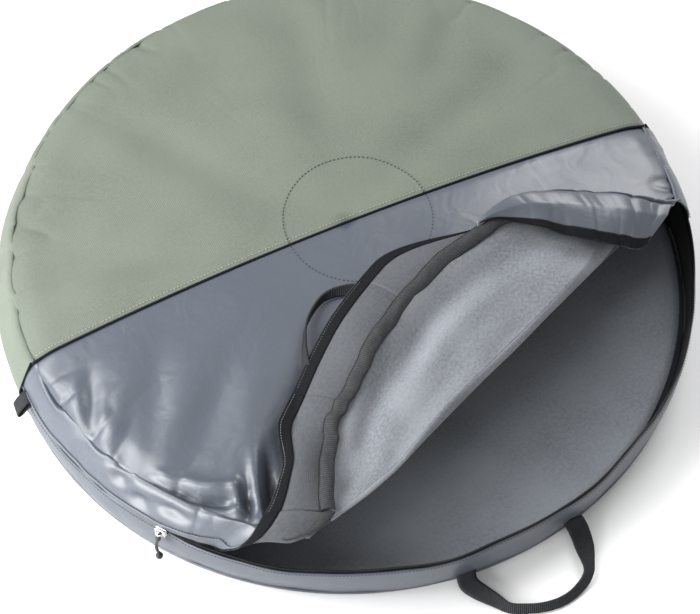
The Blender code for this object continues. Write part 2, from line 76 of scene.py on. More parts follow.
# The line that the flap turns about, and the angles that its two ends span from its middle
FOLD_DISTANCE = 0.25455
FOLD_HEIGHT = 0.142796
FLAP_TURN = -65.8
FLAP_HALF = 49.0
SLIDER_TURN = -145.0
SLANT = math.hypot(ZIP - RIM, RIM_HEIGHT - ZIP_HEIGHT)
FLAP_MIDDLE = math.radians(FLAP_TURN)
OUT = np.array((math.cos(FLAP_MIDDLE), math.sin(FLAP_MIDDLE), 0))
ALONG = np.array((-math.sin(FLAP_MIDDLE), math.cos(FLAP_MIDDLE), 0))


def dome(radius):
    """Height of the lid's outer face"""
    return RIM_HEIGHT + DOME_RISE * (1 - (radius / RIM) ** 2)


def wall_radius(height):
    """Radius of the side wall's outer face"""
    low = BASE + (ZIP - BASE) * height / ZIP_HEIGHT
    high = ZIP + (RIM - ZIP) * (height - ZIP_HEIGHT) / (RIM_HEIGHT - ZIP_HEIGHT)
    return np.where(height < ZIP_HEIGHT, low, high)


def ring(radius, angle, height):
    """A point by its distance from the axis, its angle and its height"""
    return radius * np.cos(angle), radius * np.sin(angle), height


def to_world(out, along, height):
    """A point by its distances out from the centre and along the fold"""
    return (*[OUT[i] * out + ALONG[i] * along for i in (0, 1)], height)


print("slope of the upper wall:", round(SLANT * 1000, 1), "mm")

# %% [markdown]
# Sewn cloth is never smooth. A seam gathers it into short folds, and a coated cloth keeps dents.
# Real wrinkles could come from a cloth simulation. Here they are hills and valleys of fixed noise,
# since each kind then stays where the photograph has it: gathers at the seam, dents by the zip.

# %% Noise and wrinkles


def smooth(low, high, value):
    """0 below low, 1 above high, with a soft step between them"""
    share = np.clip((value - low) / (high - low), 0, 1)
    return share * share * (3 - 2 * share)


def bell(offset, width):
    """1 in the middle, dying out smoothly to both sides"""
    return np.exp(-(offset / width) ** 2)


def pinch(away, depth, width):
    """How deep a seam pinches the cloth, at a distance away from it"""
    return depth * np.exp(-away / width)


def parabola(share):
    """0 at both ends and 1 half-way"""
    return 4 * share * (1 - share)


def half_sine(share):
    """0 at both ends and 1 half-way, along a sine, and 0 beyond the ends"""
    return np.sin(math.pi * np.clip(share, 0, 1))


def hills(seed, count=61):
    """Smooth random hills about one unit apart, the same on each run"""
    table = np.random.default_rng(seed).uniform(-1, 1, (count, count))

    def height(x, y):
        column, row = np.floor(x).astype(int), np.floor(y).astype(int)
        over, up = smooth(0, 1, x - column), smooth(0, 1, y - row)
        near, far = [table[side % count, row % count] * (1 - up)
                     + table[side % count, (row + 1) % count] * up for side in (column, column + 1)]
        return near * (1 - over) + far * over

    return height


def ripple(seed, value, row=0):
    """Hills along one line only"""
    return hills(seed)(value, 0 * value + row)


def between(first, last, share):
    """Values a share of the way from one set to the other"""
    return [a + (b - a) * share for a, b in zip(first, last)]


def gathers(seed, along, away, spacing, reach, depth):
    """Valleys that start at a seam, lie across it and die out away from it"""
    noise = hills(seed)
    uneven = hills(seed + 1)
    fold = 1 - np.abs(noise(along / spacing, away / 0.09 + 3))
    length = reach * (1.25 + 0.9 * uneven(along / 0.055, 0 * away + 5))
    strength = 0.55 + 0.6 * uneven(along / 0.08 + 9, 0 * away + 17)
    return -depth * np.clip(strength, 0.05, 1.3) * fold ** 5 * np.exp(-np.abs(away) / length)


def swells(seed, x, y, size, depth):
    """Broad, soft unevenness of cloth over a soft filling"""
    noise = hills(seed)
    return depth * (noise(x / size, y / size) + 0.45 * noise(x / size * 2.3 + 11, y / size * 2.3))


def dents(x, y, marks):
    """Creases with a ridge beside them: each has a place, a direction, a length and a depth"""
    total = np.zeros_like(x)
    for centre_x, centre_y, degrees, length, width, depth in marks:
        turn = math.radians(degrees)
        along = (x - centre_x) * math.cos(turn) + (y - centre_y) * math.sin(turn)
        across = (y - centre_y) * math.cos(turn) - (x - centre_x) * math.sin(turn)
        body = bell(along, length)
        total -= depth * body * bell(across, width)
        total += 0.6 * depth * body * bell(across - 1.9 * width, 1.2 * width)
    return total


print("noise at one place:", round(float(hills(3)(np.array(0.4), np.array(0.7))), 4))

# %% [markdown]
# Colours are written as they would be read off a swatch, as sRGB hex values. Blender mixes light in
# linear values, so one function turns them. The other functions add nodes with their settings and
# links, for the parts that several finishes share: noise, bands, a mix of two colours and a bump.

# %% Helpers for the finishes


def hex_colour(code):
    """Linear colour from an sRGB hex value"""
    parts = [int(code[i:i + 2], 16) / 255 for i in (1, 3, 5)]
    linear = [c / 12.92 if c <= 0.04045 else ((c + 0.055) / 1.055) ** 2.4 for c in parts]
    return (*linear, 1)


def node_adder(tree, prefix="ShaderNode"):
    """A function that adds a node, with its inputs set to values or linked to other nodes"""

    def add(kind, values, **settings):
        node = tree.nodes.new(prefix + kind)
        for name, setting in settings.items():
            setattr(node, name, setting)
        for key, value in values.items():
            if isinstance(value, bpy.types.NodeSocket):
                tree.links.new(value, node.inputs[key])
            else:
                node.inputs[key].default_value = value
        return node.outputs

    return add


def new_finish(name, colour, roughness, **sockets):
    """A Principled material, with functions that add nodes and link them to its shader"""
    finish = bpy.data.materials.new(name)
    finish.use_nodes = True
    tree = finish.node_tree
    shader = tree.nodes["Principled BSDF"]
    sockets.update(Base_Color=hex_colour(colour), Roughness=roughness)
    for key, value in sockets.items():
        shader.inputs[key.replace("_", " ")].default_value = value
    return finish, node_adder(tree), lambda key, socket: tree.links.new(socket, shader.inputs[key])


def plain(name, colour, roughness, **sockets):
    """A finish of one colour"""
    return new_finish(name, colour, roughness, **sockets)[0]


def noise_node(add, place, scale, detail, **more):
    return add("TexNoise", {"Vector": place, "Scale": scale, "Detail": detail, **more})["Fac"]


def band_node(add, place, pitch, axis, distortion, detail_scale=1.0):
    """Bands a pitch apart: the wave texture repeats every 0.314 m at a scale of 1"""
    return add("TexWave", {"Vector": place, "Scale": 0.314 / pitch, "Distortion": distortion,
                           "Detail": 1.0, "Detail Scale": detail_scale},
               wave_type="BANDS", bands_direction=axis)["Fac"]


def mix_node(add, share, first, second):
    return add("Mix", {"Factor": share, 6: hex_colour(first), 7: hex_colour(second)},
               data_type="RGBA")[2]


def bump_node(add, strength, distance, height, **more):
    return add("Bump", {"Strength": strength, "Distance": distance, "Height": height, **more})[0]


print("white in linear values:", hex_colour("#ffffff"))

# %% [markdown]
# The cloths are woven. Real threads are about 0.3 mm apart, which is finer than one pixel here, so
# the weave is drawn 2.0 to 2.4 mm apart. Two sets of bands, across and along, make the threads, and
# fine noise makes some threads darker. The bands read the cloth's own UV map, which is in metres.

# %% Woven finishes


def woven(name, light, dark, roughness, pitch, depth, mottle=0.5, **sockets):
    """Plain weave: bands along and across, with threads of uneven colour"""
    finish, add, connect = new_finish(name, light, roughness, **sockets)
    place = add("UVMap", {}, uv_map="cloth")[0]
    across, along = [band_node(add, place, pitch, axis, 0.6, 2.0) for axis in "XY"]
    weave = add("Math", {0: across, 1: along}, operation="MULTIPLY")[0]
    grain = noise_node(add, place, 0.55 / pitch, 3.0, Roughness=0.7)
    patch = noise_node(add, place, 9.0, 2.0)
    uneven = add("Math", {0: grain, 1: patch}, operation="MULTIPLY")[0]
    dark_threads = add("MapRange", {"Value": uneven, "From Min": 0.12, "From Max": 0.42,
                                    "To Max": mottle})[0]
    shade = add("Math", {0: weave, 1: -0.35, 2: dark_threads}, operation="MULTIPLY_ADD",
                use_clamp=True)[0]
    connect("Base Color", mix_node(add, shade, light, dark))
    height = add("Math", {0: grain, 1: 0.8, 2: weave}, operation="MULTIPLY_ADD")[0]
    connect("Normal", bump_node(add, 0.6, depth, height))
    return finish


# Sage polyester canvas is matte, with a faint sheen from loose fibres
sage_canvas = woven("sage polyester canvas", "#70776c", "#515950", 0.9, 0.002, 0.0003,
                    Sheen_Weight=0.06, Sheen_Roughness=0.5)
# The lining is an uncoated polyester weave, paler than the coated face
grey_lining = woven("grey woven polyester lining", "#898d93", "#464b51", 0.82, 0.0022, 0.00035,
                    mottle=0.8, Sheen_Weight=0.2, Sheen_Roughness=0.4)
# The side wall's lining is the same cloth, made darker as painted shade where it tilts away from the
# light
wall_lining_painted_shade = woven("grey woven lining with painted shade", "#585b60", "#2d3034", 0.82, 0.0022, 0.00035,
                    mottle=0.8)
# The floor is the lining over a pad, made darker than the lid's lining as painted shade
floor_cloth_painted_shade = woven("pad lining darkened as painted shade", "#7d8289", "#3f4349", 0.85, 0.0024, 0.00035)
# The black lining swallows the light inside the wall
black_lining = woven("black woven lining", "#17181a", "#0b0b0c", 0.8, 0.0024, 0.0002)
print("woven finishes made")

# %% [markdown]
# The grey half is tarpaulin, a cloth with a smooth coat of polyurethane. The coat gives it broad
# soft highlights. It could be one plain glossy colour, but real tarpaulin has a fine grain and
# shallow creases, so two sizes of noise bend the highlights, and a third makes the gloss uneven.

# %% Coated tarpaulin


def coated(name, colour, dark, roughness):
    """A smooth coat with shallow creases, a fine grain and uneven gloss"""
    finish, add, connect = new_finish(name, colour, roughness, IOR=1.5, Specular_IOR_Level=0.85)
    place = add("TexCoord", {})["Object"]
    creases = noise_node(add, place, 26.0, 2.0, Distortion=0.8)
    grain = noise_node(add, place, 900.0, 1.0)
    connect("Roughness", add("MapRange", {"Value": noise_node(add, place, 5.0, 2.0),
                                          "To Min": roughness - 0.08, "To Max": roughness + 0.1})[0])
    connect("Base Color", mix_node(add, grain, colour, dark))
    soft = bump_node(add, 0.3, 0.004, creases)
    connect("Normal", bump_node(add, 0.35, 0.0002, grain, Normal=soft))
    return finish


slate_tarpaulin = coated("slate coated tarpaulin", "#555b66", "#434952", 0.38)
print("coated finish made")

# %% [markdown]
# Webbing and binding tape are woven narrow, and show ribs across their width. The ribs could be
# modelled one by one, but they are only 1.2 to 2.4 mm apart, so a band pattern raises them. It lies
# on the UV map, along a strap and round a cord.

# %% Webbing, tape, coil, cord, thread and steel


def ribbed(name, light, dark, roughness, pitch, depth, axis="Y", **sockets):
    """Narrow woven goods, with ribs a pitch apart along an axis of the UV map"""
    finish, add, connect = new_finish(name, light, roughness, **sockets)
    place = add("UVMap", {}, uv_map="cloth")[0]
    ribs = band_node(add, place, pitch, axis, 0.4)
    cross = noise_node(add, place, 0.5 / pitch, 2.0)
    shade = add("Math", {0: ribs, 1: cross}, operation="MULTIPLY")[0]
    connect("Base Color", mix_node(add, shade, dark, light))
    connect("Normal", bump_node(add, 0.7, depth, ribs))
    return finish


# Polypropylene webbing is waxy, with a dull shine
webbing = ribbed("ribbed webbing", "#3a3d42", "#131517", 0.6, 0.0022, 0.0005,
                 Specular_IOR_Level=0.3)
# The binding is grosgrain, matte and dark
grosgrain = ribbed("grosgrain binding", "#4d5054", "#1e2022", 0.75, 0.0024, 0.0006, "X")
# Zip tape is a tight black twill, and its fibres send back hardly any light
zip_tape = ribbed("black twill zip tape", "#1d2026", "#0d0f12", 0.85, 0.0018, 0.0002, "X",
                  Specular_IOR_Level=0.15)
# Coils are extruded nylon, smooth and a little shiny
nylon_coil = plain("black nylon coil", "#131415", 0.35, IOR=1.53)
# Cord sheath and its moulded end
cord_sheath = ribbed("braided cord", "#6b6f73", "#1d1f21", 0.65, 0.0012, 0.0004)
moulded_end = plain("black moulded rubber", "#1a1b1c", 0.45)
# Threads: polyester, spun, with a soft shine
black_thread = plain("black sewing thread", "#1b1c1c", 0.55)
sage_thread = plain("sage sewing thread", "#a6ac9e", 0.6)
pale_thread = plain("pale grey sewing thread", "#9da1a6", 0.6)
# Zinc slider, plated and polished
plated_steel = plain("nickel plated zinc", "#d9dadb", 0.2, Metallic=1)
print("finishes:", len(bpy.data.materials))

# %% [markdown]
# Every cloth piece is a grid. Numpy gives its points, a few lines give it faces and a UV map in
# metres, and Solidify gives it its thickness inwards, with the lining as the material inside.

# %% A sheet of cloth from a formula


def add_item(name, data):
    """An object with its data, placed in the scene"""
    item = bpy.data.objects.new(name, data)
    bpy.context.scene.collection.objects.link(item)
    return item


def run_lengths(points):
    """How far along a line each of its points lies"""
    return np.insert(np.cumsum(np.linalg.norm(np.diff(points, axis=0), axis=1)), 0, 0)


def cloth(name, us, vs, place, thickness, outside, inside=None, flip=True, disc=False):
    """A grid laid out by place(u, v), with its thickness on the side away from its faces"""
    u, v = np.meshgrid(us, vs)
    points = np.stack(np.broadcast_arrays(*place(u, v)), -1)
    rows, columns = u.shape
    index = np.arange(rows * columns).reshape(rows, columns)
    quads = np.stack((index[:-1, :-1], index[:-1, 1:], index[1:, 1:], index[1:, :-1]), -1)
    quads = quads.reshape(-1, 4)[:, ::-1 if flip else 1]
    mesh = bpy.data.meshes.new(name)
    mesh.from_pydata(points.reshape(-1, 3).tolist(), [], quads.tolist())
    if disc:
        uv = points.reshape(-1, 3)[:, :2]
    else:
        run, drop = run_lengths(points[rows // 2]), run_lengths(points[:, columns // 2])
        uv = np.stack(np.meshgrid(run, drop), -1).reshape(-1, 2)
    corners = np.empty(len(mesh.loops), dtype=int)
    mesh.loops.foreach_get("vertex_index", corners)
    mesh.uv_layers.new(name="cloth").data.foreach_set("uv", uv[corners].astype(np.float32).ravel())
    if disc:
        work = bmesh.new()
        work.from_mesh(mesh)
        bmesh.ops.remove_doubles(work, verts=work.verts, dist=1e-5)
        work.to_mesh(mesh)
        work.free()
    mesh.shade_smooth()
    for finish in filter(None, (outside, inside)):
        mesh.materials.append(finish)
    item = add_item(name, mesh)
    solid = item.modifiers.new("thickness", "SOLIDIFY")
    solid.thickness = thickness
    solid.offset = -1
    solid.material_offset = 1 if inside else 0
    return item


def spaced(*stops):
    """Values from stop to stop: pairs of a stop and the step used after it"""
    values = []
    for (start, step), (end, _) in zip(stops, stops[1:]):
        count = max(1, round((end - start) / step))
        values += list(start + (end - start) * np.arange(count) / count)
    return np.array(values + [stops[-1][0]])


print("rows of a lid:", len(spaced((0, 0.012), (0.28, 0.004), (1, 0))))

# %% [markdown]
# The green half of the lid is the plain case: a half disc sewn to the side wall all round the rim.
# It could be one piece with the wall, but the real bag has a seam there, and the seam is what
# gathers the cloth. So the lid and the wall are two grids that meet in a narrow groove.

# %% Green lid and the wall below it


def lid_height(x, y):
    """Outer face of the lid: a dome that rolls over at the rim, with a valley at the middle seam"""
    radius = np.hypot(x, y)
    roll = 0.0045 * smooth(0.35, RIM, radius) ** 2
    return dome(radius) - roll - 0.0014 * bell(y, 0.006)


RIM_EDGE = float(lid_height(0, -RIM))
LID_ROWS = spaced((0, 0.02), (0.26, 0.0075), (0.33, 0.0032), (RIM, 0))
# Long soft folds that run out from the hub: where, which way, how long, wide and deep
GREEN_FOLDS = [(0.2, 0.095, 22, 0.12, 0.026, 0.005), (0.06, 0.23, 75, 0.11, 0.028, 0.0042),
               (-0.13, 0.19, 118, 0.11, 0.026, 0.0046), (-0.25, 0.07, 160, 0.1, 0.022, 0.004),
               (0.235, 0.215, 48, 0.09, 0.02, 0.0036)]


def green_lid(angle, radius):
    x = radius * np.cos(angle)
    y = np.maximum(radius * np.sin(angle), 0) + 0.0015
    away = RIM - radius
    z = lid_height(x, y) + gathers(11, angle * RIM, away, 0.027, 0.03, 0.006)
    calm = smooth(0.0, 0.03, y) * smooth(0, 0.02, away)
    z += (swells(12, x, y, 0.13, 0.0026) + dents(x, y, GREEN_FOLDS)) * calm
    return x, y, z - pinch(away, 0.004, 0.0026)


def green_wall(angle, share):
    """The wall behind, from rim to floor, gathered at the rim and bulging a little below it"""
    height = RIM_EDGE + (WALL_FOOT - RIM_EDGE) * share
    away = RIM_EDGE - height
    bulge = 0.0036 * half_sine(share) ** 0.8
    radius = wall_radius(height) + bulge + gathers(21, angle * RIM, away, 0.024, 0.022, 0.0045)
    radius += swells(25, angle * RIM, height, 0.09, 0.0012) - pinch(away, 0.0045, 0.003)
    return ring(radius, angle, height)


half_turn = np.linspace(0, math.pi, 380)
lid_green = cloth("green_lid_cloth", half_turn, LID_ROWS, green_lid, CLOTH, sage_canvas,
                  grey_lining, disc=True)
wall_green = cloth("green_side_wall", half_turn, spaced((0, 0.028), (0.3, 0.045), (1, 0)),
                   green_wall, CLOTH, sage_canvas, black_lining)
print("green faces:", len(lid_green.data.polygons) + len(wall_green.data.polygons))

# %% [markdown]
# The grey half is laid out round the same centre, but each line of points stops where it meets the
# fold of the flap. Its coat keeps hard dents near the zip, so they are placed one by one: a valley
# with a ridge beside it. That is what makes the dark marks with bright edges on a coated cloth.

# %% Grey lid up to the fold

# Where each dent is, which way it runs, how long, wide and deep it is
LID_DENTS = [
    (-0.322, -0.211, -52, 0.016, 0.006, 0.009), (-0.3, -0.232, -48, 0.018, 0.0065, 0.011),
    (-0.28, -0.248, -40, 0.014, 0.006, 0.008), (-0.262, -0.259, -30, 0.02, 0.007, 0.012),
    (-0.243, -0.268, 72, 0.022, 0.006, 0.011), (-0.214, -0.262, 72, 0.034, 0.0065, 0.011),
    (-0.338, -0.15, 55, 0.06, 0.014, 0.0034), (-0.29, -0.12, 62, 0.07, 0.017, 0.0032),
    (-0.24, -0.16, 48, 0.08, 0.018, 0.003), (-0.35, -0.085, 70, 0.035, 0.009, 0.005),
    (-0.18, -0.2, 60, 0.06, 0.015, 0.0035),
]

# How far out the fold lies along its length, for the lid below and for the flap on top
LID_LINE = ((-0.33, 0.219), (-0.3, 0.2265), (-0.25, 0.2365), (-0.2, 0.2435), (-0.1, 0.2455),
            (0.07, 0.2475), (0.32, 0.2475))
FLAP_LINE = LID_LINE[:6] + ((0.12, 0.2465), (0.145, 0.242), (0.17, 0.235), (0.2, 0.237),
                            (0.25, 0.246), (0.32, 0.2475))
# The lid sinks beside the turned-back zip: how far out that zip lies along the fold's direction
SINK_LINE = ((-0.36, 0.18), (-0.318, 0.172), (-0.287, 0.158), (-0.259, 0.144), (-0.208, 0.118),
             (-0.15, 0.097), (-0.054, 0.0695))
# Places where the rim seam is pulled down into a dark gap: angle, half length in degrees, depth
SEAM_GAPS = ((-173.4, 4.4, 0.01), (-160.6, 3.0, 0.006), (-153.8, 1.8, 0.0045))


def eased(value, rows, spread=0.012, column=1):
    """A value read from rows of stops, with its corners rounded over the spread"""
    marks, values = [row[0] for row in rows], [row[column] for row in rows]
    steps = [k * spread for k in (-1, -0.66, -0.33, 0, 0.33, 0.66, 1)]
    return sum(np.interp(value + step, marks, values) for step in steps) / len(steps)


def eased_point(value, rows, spread):
    """How far out, how far along and how high the rows lead"""
    return [eased(value, rows, spread, column) for column in (1, 2, 3)]


def fold_reach(angle):
    """How far out the grey lid reaches at an angle: to the rim, or to the fold"""
    turn = angle - FLAP_MIDDLE
    over = np.cos(turn)
    reach = RIM + 0 * angle
    for _ in range(8):
        line = eased(reach * np.sin(turn), LID_LINE)
        reach = np.where(over > 0.1, np.minimum(RIM, line / np.maximum(over, 0.1)), RIM)
    return reach


def seam_gap(degrees):
    """How far the rim seam is pulled down at an angle"""
    return sum(depth * np.clip(1 - ((degrees - middle) / half) ** 2, 0, 1)
               for middle, half, depth in SEAM_GAPS)


def grey_lid(angle, share):
    reach = fold_reach(angle)
    radius = share * reach
    x = radius * np.cos(angle)
    y = np.minimum(radius * np.sin(angle), 0) - 0.0015
    away = RIM - radius
    z = lid_height(x, y) + gathers(31, angle * RIM, away, 0.03, 0.02, 0.005)
    soft = smooth(0.0, 0.03, -y) * smooth(0, 0.02, away) * smooth(0, 0.03, reach - radius)
    z += swells(32, x, y, 0.12, 0.0024) * soft
    z += dents(x, y, LID_DENTS) * smooth(0.0, 0.012, away)
    out, along = OUT[0] * x + OUT[1] * y, ALONG[0] * x + ALONG[1] * y
    beside = eased(along, SINK_LINE, 0.02) - out
    z -= 0.015 * smooth(0.042, -0.004, beside) * smooth(-0.1, -0.21, along) * soft
    at_rim = np.where(reach > RIM - 0.0001, 1.0, 0.0)
    gap = pinch(away, seam_gap(np.degrees(angle)), 0.0024)
    return x, y, z - (pinch(away, 0.0042, 0.0026) + gap) * at_rim


grey_turn = np.linspace(-math.pi, 0, 400)
grey_rows = spaced((0, 0.04), (0.55, 0.018), (0.86, 0.0085), (1, 0))
lid_grey = cloth("grey_lid_cloth", grey_turn, grey_rows, grey_lid, CLOTH, slate_tarpaulin,
                 grey_lining, disc=True)
print("grey lid faces:", len(lid_grey.data.polygons))

# %% [markdown]
# The flap is drawn where it lies. Folding it over is a mirror about the fold, so a point that is
# a certain way out from the fold on the closed bag lies as far in from it now, with the lining
# up. The real flap also sinks onto the lid at its two ends, so its height is never less than the
# lid's own height and the cloth between. All of this goes into one function of place.

# %% Where the flap lies

# How far the seam is pulled out of its mirrored place, by the angle round the flap
SEAM_PULL = ((-52, -0.034), (-42, -0.033), (-35, -0.028), (-33, -0.024), (-28, -0.0135),
             (-21, -0.007), (-14, -0.002), (-7, 0.0), (21, 0.0), (28, 0.003), (35, 0.006),
             (42, 0.016), (46, 0.011), (52, 0.003))


def seam_point(degrees):
    """The flap's curved seam, as distances out from the centre and along the fold"""
    turn = np.radians(degrees)
    out = 2 * FOLD_DISTANCE - RIM * np.cos(turn)
    along = RIM * np.sin(turn)
    pull = eased(degrees, SEAM_PULL, 2.2)
    return out + pull, along - 0.004 * smooth(36, 49, degrees)


def flap_top(out, along):
    """Top of the lining of the folded flap"""
    closed = np.hypot(2 * FOLD_DISTANCE - out, along)
    height = 2 * FOLD_HEIGHT - dome(closed) + 0.0038
    height += 0.007 * bell(RIM - np.minimum(closed, RIM), 0.02)
    inward = np.clip((FOLD_DISTANCE - out) / 0.13, 0, 1)
    height -= 0.007 * inward + 0.053 * smooth(0.09, 0.293, np.abs(along))
    lid = dome(np.minimum(np.hypot(out, along), RIM)) + 0.0066
    return np.maximum(height, lid - 0.004 * smooth(0.35, RIM, np.hypot(out, along)))


FOLD_DROP = 0.0042
# Long soft folds that run from the pleats in the binding towards the fold
PANEL_FOLDS = [(0.165, -0.135, -62, 0.04, 0.01, 0.003), (0.205, -0.205, -50, 0.045, 0.012, 0.0032),
               (0.182, 0.062, 80, 0.05, 0.013, 0.006), (0.215, -0.06, -80, 0.06, 0.02, 0.0016),
               (0.172, -0.085, -76, 0.055, 0.013, 0.0052), (0.167, -0.01, -90, 0.05, 0.013, 0.0052)]


def panel_place(lift):
    """The flap's panel, from its curved seam (0) to the fold (1)"""

    def place(degrees, share):
        start, along = seam_point(degrees)
        fold = eased(along, FLAP_LINE)
        start = np.minimum(start, fold - 0.0004)
        out = start + (fold - start) * share
        room = smooth(0, 0.02, fold - out) * smooth(0, 0.012, out - start)
        beside_binding = bell(out - start - 0.038, 0.017)
        soft = swells(41, out, along, 0.1, 0.0042) + dents(out, along, PANEL_FOLDS)
        soft = soft - 0.0088 * (0.75 + 0.25 * np.sin(38 * along)) * beside_binding
        height = flap_top(out, along) + lift + soft * room
        return to_world(out, along, height - FOLD_DROP * smooth(0.032, 0, fold - out))

    return place


flap_turn = np.linspace(-48.9, 48.9, 230)
panel_rows = spaced((0, 0.022), (0.9, 0.014), (1, 0))
lining_panel = cloth("flap_lining_cloth", flap_turn, panel_rows, panel_place(0), LINING,
                     grey_lining)
outer_panel = cloth("flap_outer_cloth", flap_turn, panel_rows, panel_place(-0.0056), CLOTH,
                    slate_tarpaulin, flip=False)
print("flap seam height:", round(float(flap_top(*seam_point(np.array(0.0)))) * 1000, 1), "mm")

# %% [markdown]
# At the fold the lining turns round from the underside of the lid to the top of the flap. It could
# be a bevel on one long sheet. It is its own half tube instead, because it lies across two
# moving bodies when the flap closes, and the other pieces stay stiff.

# %% Rolled fold


def fold_place(along, turn):
    below, above = eased(along, LID_LINE), eased(along, FLAP_LINE)
    low = lid_height(*to_world(below, along, 0)[:2]) - 0.0035
    high = flap_top(above, along) - FOLD_DROP
    bulge = 0.005 + 0.001 * ripple(51, along / 0.06)
    out = below + (above - below) * (1 + np.sin(turn)) / 2 - 0.0004 + bulge * np.cos(turn)
    return to_world(out, along, (low + high) / 2 + (high - low) / 2 * np.sin(turn))


fold_roll = cloth("rolled_fold_lining", np.linspace(-0.2915, 0.262, 150),
                  np.linspace(-math.pi / 2, math.pi / 2, 15), fold_place, LINING, grey_lining,
                  slate_tarpaulin, flip=False)
print("fold roll points:", len(fold_roll.data.vertices))

# %% [markdown]
# The strip of side wall that is sewn to the flap has four runs. Three lie turned out beyond the
# seam, lining up, like the brim of a hat. At the left end the brim turns down to the zip, and at
# the right end it narrows to nothing. The fourth run lies turned in, with its coated face up.

# %% Brim of the flap

# Zip edge at the left end: angle round the flap, then how far out, along and high it lies
LEFT_EDGE = ((-84, 0.0418, -0.3978, 0.0645), (-78, 0.0832, -0.3913, 0.0645),
             (-68, 0.128, -0.3815, 0.0645), (-61, 0.147, -0.377, 0.068),
             (-55, 0.171, -0.367, 0.1), (-51.5, 0.18, -0.355, 0.121),
             (-46, 0.172, -0.318, 0.131), (-41, 0.158, -0.287, 0.14),
             (-36, 0.144, -0.259, 0.15), (-30, 0.123, -0.218, 0.154))


def left_edge(degrees):
    """Where the turned-back zip edge lies at the left end of the opening"""
    return eased_point(degrees, LEFT_EDGE, 1.6)


def brim_place(lift=0.0):
    """The brim from the seam (0) to the zip edge (1), at an angle round the flap in degrees"""

    def place(degrees, share):
        start_out, start_along = seam_point(degrees)
        top = flap_top(start_out, start_along) - 0.0012
        turn = np.radians(degrees)
        flat = 1 - smooth(-4, 12.5, degrees)
        rise = parabola(share)
        reach = 0.98 * flat * SLANT * share
        brim = (start_out - np.cos(turn) * reach, start_along + np.sin(turn) * reach,
                top - 0.2 / 0.98 * reach + 0.006 * flat * rise
                + 0.0022 * ripple(61, degrees / 7, 2) * share)
        hanging = between((start_out, start_along, top), left_edge(degrees), share)
        left = smooth(-33, -41, degrees)
        out, along, height = between(brim, hanging, left)
        height += 0.007 * left * rise
        radius = np.hypot(out, along)
        lid = dome(np.minimum(radius, RIM)) + 0.0065
        covered = np.where(radius < RIM - 0.004, np.maximum(height, lid), height)
        return to_world(out, along, covered + lift)

    return place


RUN_ENDS = (-FLAP_HALF, -28.0, -7.0, 14.0)
RUNS = [(number, *ends) for number, ends in enumerate(zip(RUN_ENDS, RUN_ENDS[1:]), 1)]
# The tape covers the last quarter of the cloth and ends just past it
TAPE_END = 1.02
TAPE_ROWS = np.linspace(0.74, TAPE_END, 7)
brims, brim_tapes = [], []
for number, start, end in RUNS:
    # Each run laps half a degree over the one before, and lies on top of it
    turns = np.linspace(start - 0.5 * (number > 1), end, 44)
    lap = 0.0004 * (number - 1)
    # The brim's lining is the darker copy of the lining: painted shade
    brims.append(cloth("brim_lining_%d" % number, turns, np.linspace(0, 0.93, 20), brim_place(lap),
                       0.003, wall_lining_painted_shade, slate_tarpaulin, flip=False))
    brim_tapes.append(cloth("brim_zip_tape_%d" % number, turns, TAPE_ROWS,
                            brim_place(TAPE + lap), TAPE, zip_tape, flip=False))
print("brim runs:", [piece.name for piece in brims])

# %% Run that is turned in, coated face up

# Angle round the flap, how far out and along the zip edge lies, and how high the cloth arches
TUCK_EDGE = ((10, 0.124, 0.071, 0.003), (14, 0.137, 0.097, 0.012), (18, 0.158, 0.114, 0.02),
             (22, 0.18, 0.125, 0.024), (26, 0.203, 0.137, 0.025), (30, 0.226, 0.15, 0.025),
             (34, 0.245, 0.165, 0.024), (38, 0.257, 0.178, 0.022), (42, 0.265, 0.189, 0.018),
             (46, 0.27, 0.2, 0.012), (51, 0.273, 0.214, 0.003))


def tuck_place(lift=0.0):
    """From the seam (0) over a loose arch to the zip edge (1)"""

    def place(degrees, share):
        out, along = seam_point(degrees)
        top = flap_top(out, along) - 0.001
        end_out, end_along, arch = eased_point(degrees, TUCK_EDGE, 1.2)
        inside = np.minimum(end_out, eased(end_along, FLAP_LINE))
        raised_edge = 0.006 + 0.009 * smooth(16, 24, degrees) * smooth(47, 38, degrees)
        end_top = flap_top(inside, end_along) + raised_edge - 0.35 * (end_out - inside)
        rise = half_sine(np.sqrt(share))
        back = 0.5 * arch * half_sine(share / 0.4)
        folds = gathers(71, degrees * 0.0068, share * 0.05, 0.022, 0.03, 0.004)
        folds = folds + gathers(73, degrees * 0.0068, (1 - share) * 0.05, 0.03, 0.022, 0.0034)
        crease = share - 0.16 - 0.03 * ripple(75, degrees / 6)
        groove = -0.0062 * bell(crease, 0.026) * smooth(20, 27, degrees)
        loose = smooth(0, 0.1, share) * smooth(11, 17, degrees)
        out, along, height = between((out, along, top), (end_out, end_along, end_top), share)
        height += arch * rise + lift + (folds + groove) * loose
        return to_world(out - back, along, height)

    return place


tuck_turns = np.linspace(11.6, 49.2, 120)
tuck = cloth("turned_in_wall", tuck_turns, np.linspace(0, 0.93, 36), tuck_place(), 0.0016,
             slate_tarpaulin, grey_lining)
tuck_tape = cloth("turned_in_zip_tape", tuck_turns, np.linspace(0.83, TAPE_END, 7),
                  tuck_place(0.0009), TAPE, zip_tape)
print("turned-in run faces:", len(tuck.data.polygons))

# %% [markdown]
# The seam between the flap and its brim is bound with ribbed tape folded over the raw edges. The
# tape stands up loosely, wanders a little, and is pleated where the wall was eased in.

# %% Binding on the flap's seam


